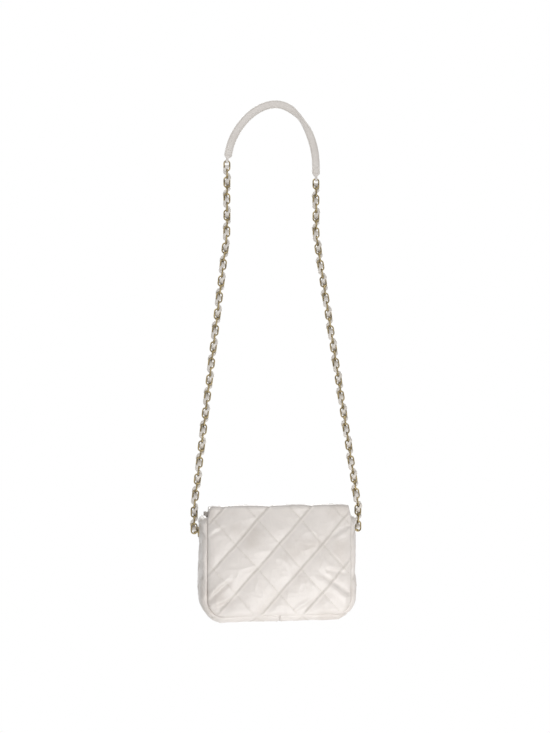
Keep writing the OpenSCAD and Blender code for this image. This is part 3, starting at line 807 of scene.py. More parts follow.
@dataclass(frozen=True)
class BagSizes:
    """Places of the bag's planes and edges, read from the frame, in metres."""

    base_z: float
    seam_z: float
    gusset_top_z: float
    mouth_z: float
    fold_axis: Vector
    top_z: float
    flap_edge_z: float
    half_w: float
    flap_half_w: float
    front_y: float
    seam_y: float
    flap_y: float
    gusset_x: float
    eyelet_z: float
    snap_z: float
    leather: float
    flap_front_half_w: float = 0.087
    corner_r: float = 0.022
    flap_corner_r: float = 0.034
    bend_r: float = 0.009
    lining: float = 0.0008

    @classmethod
    def from_frame(cls) -> "BagSizes":
        """Read the places from the frame's nodes and joints.

        Returns:
            The sizes.
        """
        back_lo, back_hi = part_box("back_panel")
        front_lo, front_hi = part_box("front_panel")
        flap_lo, flap_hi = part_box("flap_leather")
        lining_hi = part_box("flap_lining")[1]
        gusset_lo, gusset_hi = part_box("gusset_right")
        snap_lo, snap_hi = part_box("snap_socket")
        joints = {j["name"]: Vector(j["pos_m"]) for j in frame["joints"]}
        return cls(
            base_z=gusset_lo.z,
            seam_z=back_lo.z,
            gusset_top_z=gusset_hi.z,
            mouth_z=front_hi.z,
            fold_axis=joints["flap_lift"],
            top_z=lining_hi.z + FLAP_PADDING,
            flap_edge_z=flap_lo.z,
            half_w=back_hi.x,
            flap_half_w=flap_hi.x,
            front_y=front_hi.y,
            seam_y=front_lo.y,
            flap_y=lining_hi.y + FLAP_PADDING,
            gusset_x=gusset_hi.x,
            eyelet_z=joints["bag_swing"].z,
            snap_z=(snap_lo.z + snap_hi.z) / 2,
            leather=front_hi.y - front_lo.y,
        )

    @property
    def puff(self) -> float:
        """How far the gusset stands out past the panel seam."""
        return self.gusset_x - self.half_w

    @property
    def flap_t(self) -> float:
        """Thickness of the padded flap, which rolls round the fold's axis."""
        return 2 * (self.top_z - self.fold_axis.z)


@dataclass(frozen=True)
class QuiltLattice:
    """Two families of sewn lines that cross in diamonds on a flat panel.

    A rising line climbs with u, and a falling line drops. The rising lines are sewn tighter.
    """

    node_u: float
    node_v: float
    pitch_u: float = 0.0574
    pitch_v: float = 0.0647
    puff_w: float = 0.016
    falling_share: float = 0.22
    groove_w: float = 0.0016
    lip_off: float = 2.6 * MM
    lip_w: float = 1.2 * MM
    seed: int = 11

    @property
    def spacing(self) -> float:
        """Distance between neighbouring lines of a family, square to them."""
        return 1 / math.hypot(1 / self.pitch_u, 1 / self.pitch_v)

    def phases(self, u: Array, v: Array) -> tuple[Array, Array]:
        """Return the rising and the falling family's line number at each place.

        Args:
            u: Place across the panel.
            v: Place up the panel.
        """
        wobble = self.wobble(u, v)
        a = (u - self.node_u) / self.pitch_u
        b = (v - self.node_v) / self.pitch_v
        return a - b + wobble, a + b - wobble

    def off_line(self, phase: Array) -> Array:
        """Return the distance past the nearest line of a family, below 0 before it."""
        return (phase - np.round(phase)) * self.spacing

    def line(self, number: int, v: Array, rising: bool) -> Array:
        """Return u along a sewn line at places v.

        Args:
            number: Number of the line in its family.
            v: Places up the panel.
            rising: Whether the line climbs with u.
        """
        way = 1.0 if rising else -1.0
        b = way * (v - self.node_v) / self.pitch_v
        u = self.node_u + self.pitch_u * (number + b)
        for _ in range(3):
            u = self.node_u + self.pitch_u * (number + b - way * self.wobble(u, v))
        return u

    def wobble(self, u: Array, v: Array) -> Array:
        """Return how far the sewing strays from a straight line, in pitches."""
        return 0.02 * ripple(u, v, 0.05, self.seed)

    def relief(self, u: Array, v: Array) -> tuple[Array, Array]:
        """Return how far the padding puffs, and how near a sewn line each place is.

        Args:
            u: Place across the panel.
            v: Place up the panel.

        Returns:
            The puff from 0 to about 1.2, and the nearness from 0 to 1.
        """
        rising, falling = self.phases(u, v)
        to_rising, to_falling = np.abs(self.off_line(rising)), np.abs(self.off_line(falling))
        puff_rising = 1 - (1 - np.clip(to_rising / self.puff_w, 0, 1)) ** 2.3
        puff_falling = 1 - (1 - np.clip(to_falling / self.puff_w, 0, 1)) ** 2.3
        share = self.falling_share
        puff = puff_rising * (1 - share + share * puff_falling)
        pucker = ripple(falling * self.spacing, rising * 0.01, 0.0045, self.seed + 3)
        puff = puff + 0.16 * pucker * np.exp(-to_rising / 0.007) * smooth(to_rising, 0, 0.002)
        pucker = ripple(rising * self.spacing, falling * 0.01, 0.005, self.seed + 4)
        puff = puff + 0.12 * pucker * np.exp(-to_falling / 0.006) * smooth(to_falling, 0, 0.002)
        groove = np.maximum(bell(to_rising, self.groove_w), 0.3 * bell(to_falling, self.groove_w))
        return puff, groove

    def lip(self, u: Array, v: Array) -> Array:
        """Return how near each place is to the raised lip below a rising line, from 0 to 1; the lip also takes a
        painted highlight.
        """
        rising, _ = self.phases(u, v)
        return bell(self.off_line(rising) - self.lip_off, self.lip_w)


@dataclass(frozen=True)
class Crease:
    """A pinched fold in the leather, between two places on a panel."""

    start: tuple[float, float]
    end: tuple[float, float]
    depth: float
    width: float

    def relief(self, u: Array, v: Array) -> Array:
        """Return the height that the crease adds: a valley with a soft ridge above it.

        Args:
            u: Place across the panel.
            v: Place up the panel.
        """
        (u0, v0), (u1, v1) = self.start, self.end
        du, dv = u1 - u0, v1 - v0
        length = math.hypot(du, dv)
        along = ((u - u0) * du + (v - v0) * dv) / length
        across = ((v - v0) * du - (u - u0) * dv) / length
        across = across + 0.3 * self.width * ripple(u, v, 0.012, 91)
        reach = smooth(along, -0.3 * self.width, self.width) * (1 - smooth(along, 0.45 * length, length))
        valley = bell(across, self.width)
        ridge = bell(across - 1.5 * self.width, 1.1 * self.width)
        return self.depth * reach * (0.75 * ridge - valley)


@dataclass
class PaddingCloth:
    """Cloth simulation of quilted leather that its padding pushes out between the sewn lines.

    The leather starts as a flat sheet, held at its sewn lines and its rim, and a little larger
    than the lines leave room for. It is simulated at a larger scale, where the solver is steady.
    """

    lattice: QuiltLattice
    half_w: float
    length: float
    cell: float = 3.5 * MM
    scale: float = 20.0
    pressure: float = 4.0
    excess: float = 0.012
    frames: int = 16
    cap: float = 5.0 * MM

    def grid(self) -> tuple[Array, Array]:
        """Return the places across and along of the sheet's points."""
        across = np.linspace(-self.half_w, self.half_w, round(2 * self.half_w / self.cell) + 1)
        along = np.linspace(0.0, self.length, round(self.length / self.cell) + 1)
        return np.meshgrid(across, along)

    def sewn(self, u: Array, v: Array) -> Array:
        """Return which points are held, at the tight lines and the rim.

        Args:
            u: Place across the panel.
            v: Place up the panel.
        """
        rising, _ = self.lattice.phases(u, v)
        to_line = np.abs(self.lattice.off_line(rising))
        rim = np.minimum(self.half_w - np.abs(u), np.minimum(v, self.length - v))
        return (to_line < 0.62 * self.cell) | (rim < 0.5 * self.cell)

    def simulate(self) -> Array:
        """Run the simulation, apply it and return the heights of the sheet's points.

        Returns:
            The heights, in the sheet's rows and columns.
        """
        u, v = self.grid()
        start = np.random.default_rng(5).uniform(0.0, 0.5 * MM, u.shape)
        points = np.stack([u, v, start], -1).reshape(-1, 3) * self.scale
        sheet = new_piece("padding_sheet", points, grid_faces(*u.shape), None)
        group = sheet.vertex_groups.new(name="sewn")
        group.add(np.flatnonzero(self.sewn(u, v).ravel()).tolist(), 1.0, "REPLACE")
        cloth = sheet.modifiers.new("leather", "CLOTH")
        settings = cloth.settings
        settings.vertex_group_mass = group.name
        settings.use_pressure = True
        settings.uniform_pressure_force = self.pressure
        settings.shrink_min = -self.excess
        settings.effector_weights.gravity = 0.0
        settings.tension_stiffness = settings.compression_stiffness = 40.0
        settings.shear_stiffness = 20.0
        settings.bending_stiffness = 2.0
        settings.air_damping = 4.0
        settings.quality = 6
        cloth.point_cache.frame_start, cloth.point_cache.frame_end = 1, self.frames
        for number in range(1, self.frames + 1):
            bpy.context.scene.frame_set(number)
        make_active(sheet)
        bpy.ops.object.modifier_apply(modifier=cloth.name)
        settled = np.array([vertex.co.z for vertex in sheet.data.vertices]).reshape(u.shape)
        bpy.data.objects.remove(sheet, do_unlink=True)
        bpy.context.scene.frame_set(1)
        settled = soften(soften(settled).T).T / self.scale
        log.info("padding: %.1f mm at most, %.1f mm on average", settled.max() / MM, settled.mean() / MM)
        return np.clip(settled, -0.3 * MM, self.cap)

    def heights(self, u: Array, v: Array) -> Array:
        """Return the settled height at any places on the sheet.

        Args:
            u: Place across the panel.
            v: Place up the panel.
        """
        rows, columns = self.settled.shape
        a = np.clip((u / self.half_w + 1) / 2 * (columns - 1), 0, columns - 1.001)
        b = np.clip(v / self.length * (rows - 1), 0, rows - 1.001)
        j, i = a.astype(int), b.astype(int)
        f, g = a - j, b - i
        low = self.settled[i, j] * (1 - f) + self.settled[i, j + 1] * f
        high = self.settled[i + 1, j] * (1 - f) + self.settled[i + 1, j + 1] * f
        return low * (1 - g) + high * g

    def __post_init__(self) -> None:
        """Settle the sheet."""
        self.settled = self.simulate()


class SkinPath:
    """Side view of the skin: up the back, over the fold and the top, and down the front."""

    def __init__(self, sizes: BagSizes) -> None:
        """Measure the path.

        Args:
            sizes: The bag's sizes.
        """
        self.sizes = sizes
        self.roll_r = sizes.flap_t / 2
        self.bend_y = sizes.flap_y - sizes.bend_r
        self.bend_z = sizes.top_z - sizes.bend_r
        up = sizes.fold_axis.z - sizes.seam_z
        roll = math.pi / 2 * self.roll_r
        top = self.bend_y - sizes.fold_axis.y
        bend = math.pi / 2 * sizes.bend_r
        down = self.bend_z - sizes.flap_edge_z
        self.marks = np.cumsum([0.0, up, roll, top, bend, down])

    @property
    def length(self) -> float:
        """Whole length of the path."""
        return float(self.marks[-1])

    def at(self, s: Array) -> tuple[Array, Array, Array]:
        """Return y, z and the turn of the normal at distances s along the path.

        The turn is 0 where the skin faces the back, a quarter on top and a half on the front.

        Args:
            s: Distance along the path.
        """
        sizes, m = self.sizes, self.marks
        turn = np.pi / 2 * np.clip((s - m[1]) / (m[2] - m[1]), 0, 1)
        turn = turn + np.pi / 2 * np.clip((s - m[3]) / (m[4] - m[3]), 0, 1)
        y = sizes.fold_axis.y - self.roll_r * np.cos(np.minimum(turn, np.pi / 2))
        y = y + np.clip(s - m[2], 0, m[3] - m[2])
        y = y - sizes.bend_r * np.cos(np.maximum(turn, np.pi / 2))
        z = sizes.seam_z + np.minimum(s, m[1]) + self.roll_r * np.sin(np.minimum(turn, np.pi / 2))
        z = z - sizes.bend_r * (1 - np.sin(np.maximum(turn, np.pi / 2)))
        z = z - np.clip(s - m[4], 0, None)
        return y, z, turn


@dataclass
class QuiltedSkin:
    """The quilted leather that is the back panel, the fold and the flap in one piece."""

    sizes: BagSizes
    wardrobe: Wardrobe
    step: float = 1.25 * MM
    puff: float = 2.3 * MM
    cloth_share: float = 0.4
    crown: float = 3.2 * MM
    seam_sink: float = 1.4 * MM
    edge_w: float = 8.0 * MM
    wadding_depth: float = 4.4 * MM
    fold_depth: float = 2.3 * MM
    top_taper: float = 3.0 * MM
    top_sag: float = 4.2 * MM
    side_droop: float = 6.0 * MM
    crumple: float = 0.8 * MM
    swell: float = 0.4 * MM
    lip: float = 0.35 * MM
    hem_in: float = 4.0 * MM
    hem_sink: float = 0.7 * MM

    def __post_init__(self) -> None:
        """Set out the path, the lattice and the creases."""
        self.path = SkinPath(self.sizes)
        seam = self.sizes.seam_z - self.sizes.base_z
        self.lattice = QuiltLattice(node_u=-1.4 * MM, node_v=CROSSING_Z - seam)
        self.creases = [
            Crease((-0.095, 0.020), (-0.058, 0.055), 2.0 * MM, 3.6 * MM),
            Crease((0.095, 0.026), (0.040, 0.064), 1.9 * MM, 4.2 * MM),
            Crease((0.060, 0.060), (0.094, 0.052), 1.2 * MM, 3.0 * MM),
            Crease((-0.094, 0.008), (-0.045, 0.030), 1.2 * MM, 3.4 * MM),
            Crease((0.094, 0.118), (0.062, 0.100), 1.3 * MM, 3.2 * MM),
            Crease((-0.094, 0.104), (-0.070, 0.118), 1.2 * MM, 3.0 * MM),
            Crease((0.020, 0.002), (0.050, 0.022), 1.2 * MM, 2.8 * MM),
        ]
        self.cloth = None
        self.cloth = PaddingCloth(self.lattice, self.sizes.half_w, self.path.length)

    def side(self, s: Array) -> Array:
        """Return half the skin's width at distances s, with its corners left square.

        Args:
            s: Distance along the path.
        """
        sizes, m = self.sizes, self.path.marks
        places = [sizes.gusset_top_z - sizes.seam_z, m[1], m[3], self.path.length - sizes.flap_corner_r]
        front = sizes.flap_half_w - self.top_taper
        return np.interp(s, places, [sizes.half_w, sizes.flap_half_w, front, sizes.flap_front_half_w])

    def half_width(self, s: Array) -> Array:
        """Return half the skin's width at distances s.

        Args:
            s: Distance along the path.
        """
        sizes = self.sizes
        loss = corner_loss(s, sizes.corner_r) + corner_loss(self.path.length - s, sizes.flap_corner_r)
        return self.side(s) - loss

    def edge_distance(self, x: Array, s: Array) -> Array:
        """Return the distance in from the skin's outline.

        Args:
            x: Place across the bag.
            s: Distance along the path.
        """
        sizes, length = self.sizes, self.path.length
        edge = inset(x, s, self.side(s), 0.0, length, sizes.corner_r, sizes.flap_corner_r)
        return np.clip(edge, 0, None)

    def sag(self, x: Array, s: Array) -> Array:
        """Return how far the soft top of the flap sinks, towards the front and at its sides.

        Args:
            x: Place across the bag.
            s: Distance along the path.
        """
        m = self.path.marks
        forward = smooth(s, m[2], m[3] - 6 * MM) * (1 - smooth(s, m[3] + 2 * MM, m[4] + 12 * MM))
        on_top = smooth(s, m[2] + 2 * MM, m[2] + 18 * MM) * (1 - smooth(s, m[3], m[4]))
        side = smooth(np.abs(x), 0.66 * self.sizes.flap_half_w, self.sizes.flap_half_w)
        return np.maximum(self.top_sag * forward, self.side_droop * side * on_top)

    def relief(self, x: Array, s: Array) -> tuple[Array, Array]:
        """Return the height of the leather over the frame's surface, and its painted shade and highlight.

        Args:
            x: Place across the bag.
            s: Distance along the path.
        """
        sizes, m = self.sizes, self.path.marks
        inside = self.edge_distance(x, s)
        roll = roll_off(inside, self.edge_w)
        puff, groove = self.lattice.relief(x, s)
        crumple = folds(x, s, 0.019, 21) - 0.35 + 0.5 * (folds(x, s, 0.009, 31) - 0.35)
        crumple = crumple * (0.65 + 0.35 * ripple(x, s, 0.05, 41))
        creases = sum(crease.relief(x, s) for crease in self.creases)
        belly = 1 - (x / sizes.half_w) ** 2
        on_back = 1 - smooth(s, m[1] - 0.03, m[1])
        crown = self.crown * belly * on_back * np.sin(np.pi * np.clip(s / m[1], 0, 1))
        top = smooth(s, m[1], m[2] + 0.004) * (1 - smooth(s, m[3] + 0.004, m[4] + 0.008))
        pad = self.puff * puff
        if self.cloth is not None:
            blown = self.cloth.heights(x, s) * (1 - 0.9 * groove)
            pad = (1 - self.cloth_share) * pad + self.cloth_share * blown
        height = pad * (1 - 0.5 * top) + crown + creases * on_back
        lip = self.lattice.lip(x, s)
        height = height + self.crumple * crumple * (1 - 0.7 * groove)
        height = height + self.swell * ripple(x, s, 0.03, 51) + self.lip * lip
        tight = seam_pull(x)
        height = height * roll - self.seam_sink * tight * (1 - roll)
        hem = bell(inside - self.hem_in, 0.9 * MM) * smooth(s, m[2], m[2] + 0.01)
        height = height - self.hem_sink * hem - self.sag(x, s)
        # Painted shade in the sewn channels, along the hem and along the seam, strongest at the bag's left side,
        # which the light reaches least.
        seam = 0.45 * tight * (1 - roll_off(inside, SEAM_SHADE_W))
        shade = np.maximum(groove * roll, np.maximum(seam, 0.5 * hem))
        # Painted highlight: the lip below each rising line gets a negative value, which lightens the colour.
        return height, shade - 0.5 * lip * roll

    def surface(self, x: Array, s: Array, height: Array) -> Array:
        """Return points at a height over the frame's surface."""
        y, z, turn = self.path.at(s)
        return np.stack([x, y - height * np.cos(turn), z + height * np.sin(turn)], -1)

    def build(self) -> None:
        """Build the skin, in one piece from the back over the fold to the flap."""
        sizes, m = self.sizes, self.path.marks
        rows = rounded_rows(0.0, self.path.length, self.step, sizes.corner_r, sizes.flap_corner_r)
        columns = np.linspace(-1, 1, round(2 * sizes.half_w / self.step) + 1)
        s, share = np.meshgrid(rows, columns, indexing="ij")
        x = share * self.half_width(s)
        height, shade = self.relief(x, s)
        places = [m[1] - 0.006, m[1], m[2], m[2] + 0.008]
        deep, thin = self.wadding_depth, self.fold_depth
        depth = np.interp(s, places, [deep, thin, thin, deep])
        depth = sizes.leather + (depth - sizes.leather) * smooth(self.edge_distance(x, s), 1 * MM, 6 * MM)
        outer = self.surface(x, s, height)
        below = np.minimum(-depth - self.sag(x, s), height - LEATHER_EDGE)
        inner = self.surface(x * (1 - 0.4 * MM / sizes.half_w), s, below)
        skin = closed_sheet("quilted_back_and_flap", outer, inner, self.wardrobe.leather, shade)
        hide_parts("back_panel", "back_wadding", "flap_leather", "flap_wadding")
        bend_at_fold(skin)

    def stitch_lines(self) -> list[tuple[Array, Array]]:
        """Return the sewn lines of the quilting, each as points and normals on the leather."""
        lines = []
        length, reach = self.path.length, self.sizes.half_w
        s = np.arange(0.0, length, SEWN_STEP)
        for rising in (True, False):
            for number in range(-8, 9):
                x = self.lattice.line(number, s, rising)
                keep = (np.abs(x) < reach) & (self.edge_distance(x, s) > SEAM_MARGIN)
                lines.append(self.on_leather(x[keep], s[keep]))
        end = length - self.hem_in
        hem_s = np.linspace(self.path.marks[2] + self.hem_in, end, 260)
        hem = [(side * (self.half_width(hem_s) - self.hem_in), hem_s) for side in (-1, 1)]
        bottom_x = np.linspace(hem[0][0][-1], hem[1][0][-1], 90)
        hem.append((bottom_x, np.full(90, end)))
        lines += [self.on_leather(x, s) for x, s in hem]
        return lines

    def on_leather(self, x: Array, s: Array) -> tuple[Array, Array]:
        """Return points just over the leather, and the way that it faces there.

        Args:
            x: Place across the bag.
            s: Distance along the path.
        """
        height, _ = self.relief(x, s)
        _, _, turn = self.path.at(s)
        facing = np.stack([np.zeros_like(x), -np.cos(turn), np.sin(turn)], -1)
        return self.surface(x, s, height + SEWN_LIFT), facing

    def sew(self) -> None:
        """Sew the quilting and the flap's hem."""
        stitches = Thread(self.wardrobe.thread).rows("quilt_stitches", self.stitch_lines())
        bend_at_fold(stitches)


def bend_at_fold(piece: Piece) -> None:
    """Bake a piece's transform into its points, and log it.

    Args:
        piece: Piece that runs across the fold.
    """
    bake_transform(piece)
    report(piece)


@dataclass
class FlapUnderside:
    """Smooth leather that lines the flap, down to the top of the back."""

    skin: QuiltedSkin
    step: float = 2.0 * MM
    rim: float = 1.2 * MM

    def build(self) -> None:
        """Build the underside."""
        skin, sizes = self.skin, self.skin.sizes
        start, end = skin.path.marks[2] + 1.5 * MM, skin.path.length - self.rim
        rows = rounded_rows(start, end, self.step, 0.0, sizes.flap_corner_r - self.rim)
        columns = np.linspace(-1, 1, 96)
        s, share = np.meshgrid(rows, columns, indexing="ij")
        x = share * (skin.half_width(s) - self.rim)
        z = skin.path.at(s)[1]
        calm = smooth(np.hypot(x, z - sizes.snap_z), 9 * MM, 16 * MM)
        wave = 0.35 * MM * calm * folds(x, s, 0.021, 61) - skin.sag(x, s)
        top = sizes.flap_t - 0.02 * MM
        outer = skin.surface(x, s, wave - top)
        inner = skin.surface(x, s, wave - top + sizes.lining)
        piece = closed_sheet("flap_underside", inner, outer, skin.wardrobe.smooth_leather)
        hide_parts("flap_lining")
        bend_at_fold(piece)


def sheet_area(grid: Array) -> float:
    """Return the area of a grid of points."""
    a, b = grid[1:, 1:] - grid[:-1, :-1], grid[1:, :-1] - grid[:-1, 1:]
    return float(np.linalg.norm(np.cross(a, b), axis=-1).sum() / 2)


def cut_size(grid: Array) -> tuple[float, float]:
    """Return the width and length that a grid of points was cut to, as its longest row and column.

    Args:
        grid: Points as rows by columns by 3.
    """
    rows = np.linalg.norm(np.diff(grid, axis=1), axis=-1).sum(axis=1).max()
    columns = np.linalg.norm(np.diff(grid, axis=0), axis=-1).sum(axis=0).max()
    return float(rows), float(columns)


@dataclass
class QuiltedFront:
    """Padded front panel: nearly flat where the flap lies over it, and puffed below."""

    sizes: BagSizes
    wardrobe: Wardrobe
    step: float = 1.5 * MM
    puff_covered: float = 1.1 * MM
    puff_open: float = 3.6 * MM
    depth: float = 4.3 * MM
    binding_h: float = 12.0 * MM
    seam_sink: float = 1.6 * MM
    stud_hole_r: float = 2.2 * MM
    socket_seat_r: float = 6.2 * MM

    def __post_init__(self) -> None:
        """Set out the lattice."""
        self.lattice = QuiltLattice(node_u=0.6 * MM, node_v=CROSSING_Z + self.sizes.base_z, seed=12)
        self.bound_z = self.sizes.mouth_z - self.binding_h

    def edge_distance(self, x: Array, z: Array) -> Array:
        """Return the distance in from the panel's seam, which doesn't run along its mouth."""
        sizes = self.sizes
        return inset(x, z, sizes.half_w, sizes.seam_z, sizes.mouth_z + 1, sizes.corner_r)

    def relief(self, x: Array, z: Array) -> tuple[Array, Array]:
        """Return the height of the leather over the frame's surface, and its painted shade.

        Args:
            x: Place across the bag.
            z: Height.
        """
        sizes = self.sizes
        inside = self.edge_distance(x, z)
        roll = roll_off(inside, 7 * MM)
        covered = inset(
            x, z, sizes.flap_front_half_w, sizes.flap_edge_z, sizes.top_z + 1, sizes.flap_corner_r
        )
        share = smooth(covered, -12 * MM, -1 * MM)
        puff, groove = self.lattice.relief(x, z)
        crumple = folds(x, z, 0.018, 71) - 0.35
        height = puff * (self.puff_open * (1 - share) + self.puff_covered * share)
        height = height + crumple * (0.7 * MM * (1 - share) + 0.15 * MM * share) * (1 - 0.7 * groove)
        snap = smooth(np.hypot(x, z - sizes.snap_z), 8.5 * MM, 14 * MM)
        bound = 1 - smooth(z, self.bound_z - 5 * MM, self.bound_z)
        height = height * roll * snap * bound - self.seam_sink * (1 - roll)
        # Painted shade in the sewn channels and along the seam.
        return height, np.maximum(groove * roll * snap * bound, 0.8 * (1 - roll_off(inside, SEAM_SHADE_W)))

    def build(self) -> None:
        """Build the front panel."""
        sizes = self.sizes
        rows = rounded_rows(sizes.seam_z, sizes.mouth_z - 0.1 * MM, self.step, sizes.corner_r)
        z, share = np.meshgrid(rows, np.linspace(-1, 1, 127), indexing="ij")
        x = share * (sizes.half_w - corner_loss(z - sizes.seam_z, sizes.corner_r))
        height, shade = self.relief(x, z)
        inside = self.edge_distance(x, z)
        depth = sizes.leather + (self.depth - sizes.leather) * smooth(inside, 1 * MM, 6 * MM)
        outer = np.stack([x, sizes.front_y + height, z], -1)
        inner = np.stack([x * 0.998, sizes.front_y - np.maximum(depth, LEATHER_EDGE - height), z], -1)
        panel = closed_sheet("quilted_front", outer, inner, self.wardrobe.leather, shade)
        snap, front = Vector((0.0, sizes.front_y, sizes.snap_z)), Vector(THROUGH)
        bore(panel, snap - 4 * MM * front, snap + 4 * MM * front, self.stud_hole_r)
        bore(panel, snap - 8 * MM * front, snap - 1.1 * MM * front, self.socket_seat_r)
        place_piece(panel, Body.BAG, Slot.LEATHER, "front_panel", "front_wadding")

    def sew(self) -> None:
        """Sew the quilting of the front panel."""
        sizes, lines = self.sizes, []
        z = np.arange(sizes.seam_z, self.bound_z - 1 * MM, SEWN_STEP)
        for rising in (True, False):
            for number in range(-6, 7):
                x = self.lattice.line(number, z, rising)
                off_snap = np.hypot(x, z - sizes.snap_z) > 8.6 * MM
                kept = np.flatnonzero((self.edge_distance(x, z) > SEAM_MARGIN) & off_snap)
                for part in np.split(kept, np.flatnonzero(np.diff(kept) > 1) + 1):
                    y = sizes.front_y + self.relief(x[part], z[part])[0] + SEWN_LIFT
                    lines.append(sewn_row(x[part], y, z[part], THROUGH))
        stitches = Thread(self.wardrobe.thread).rows("front_stitches", lines)
        place_piece(stitches, Body.BAG, Slot.LEATHER)


class GussetPath:
    """Seam line of one half of the gusset: along the base, round the corner and up the side."""

    def __init__(self, sizes: BagSizes) -> None:
        """Measure the path.

        Args:
            sizes: The bag's sizes.
        """
        self.sizes = sizes
        self.corner_x = sizes.half_w - sizes.corner_r
        self.corner_z = sizes.seam_z + sizes.corner_r
        self.hood_z = sizes.gusset_top_z - sizes.puff
        reach = sizes.corner_r + sizes.puff
        side = self.hood_z - self.corner_z
        self.marks = np.cumsum([0.0, self.corner_x, np.pi / 2 * reach, side, np.pi / 2 * sizes.puff])
        self.flat_y = abs(sizes.seam_y) - sizes.puff

    def at(self, t: Array, reach: Array) -> tuple[Array, Array, Array]:
        """Return x and z at a distance out from the seam line, and the turn of its normal.

        The turn is 0 where the gusset faces down, a quarter on the side and a half on its top.

        Args:
            t: Distance along the outside of the gusset, from the middle of the base.
            reach: Distance out from the seam line.
        """
        m = self.marks
        turn = np.pi / 2 * np.clip((t - m[1]) / (m[2] - m[1]), 0, 1)
        turn = turn + np.pi / 2 * np.clip((t - m[3]) / (m[4] - m[3]), 0, 1)
        corner = np.minimum(turn, np.pi / 2)
        x = np.minimum(t, self.corner_x) + self.sizes.corner_r * np.sin(corner)
        z = self.corner_z - self.sizes.corner_r * np.cos(corner)
        z = z + np.clip(t - m[2], 0, m[3] - m[2])
        return x + reach * np.sin(turn), z - reach * np.cos(turn), turn


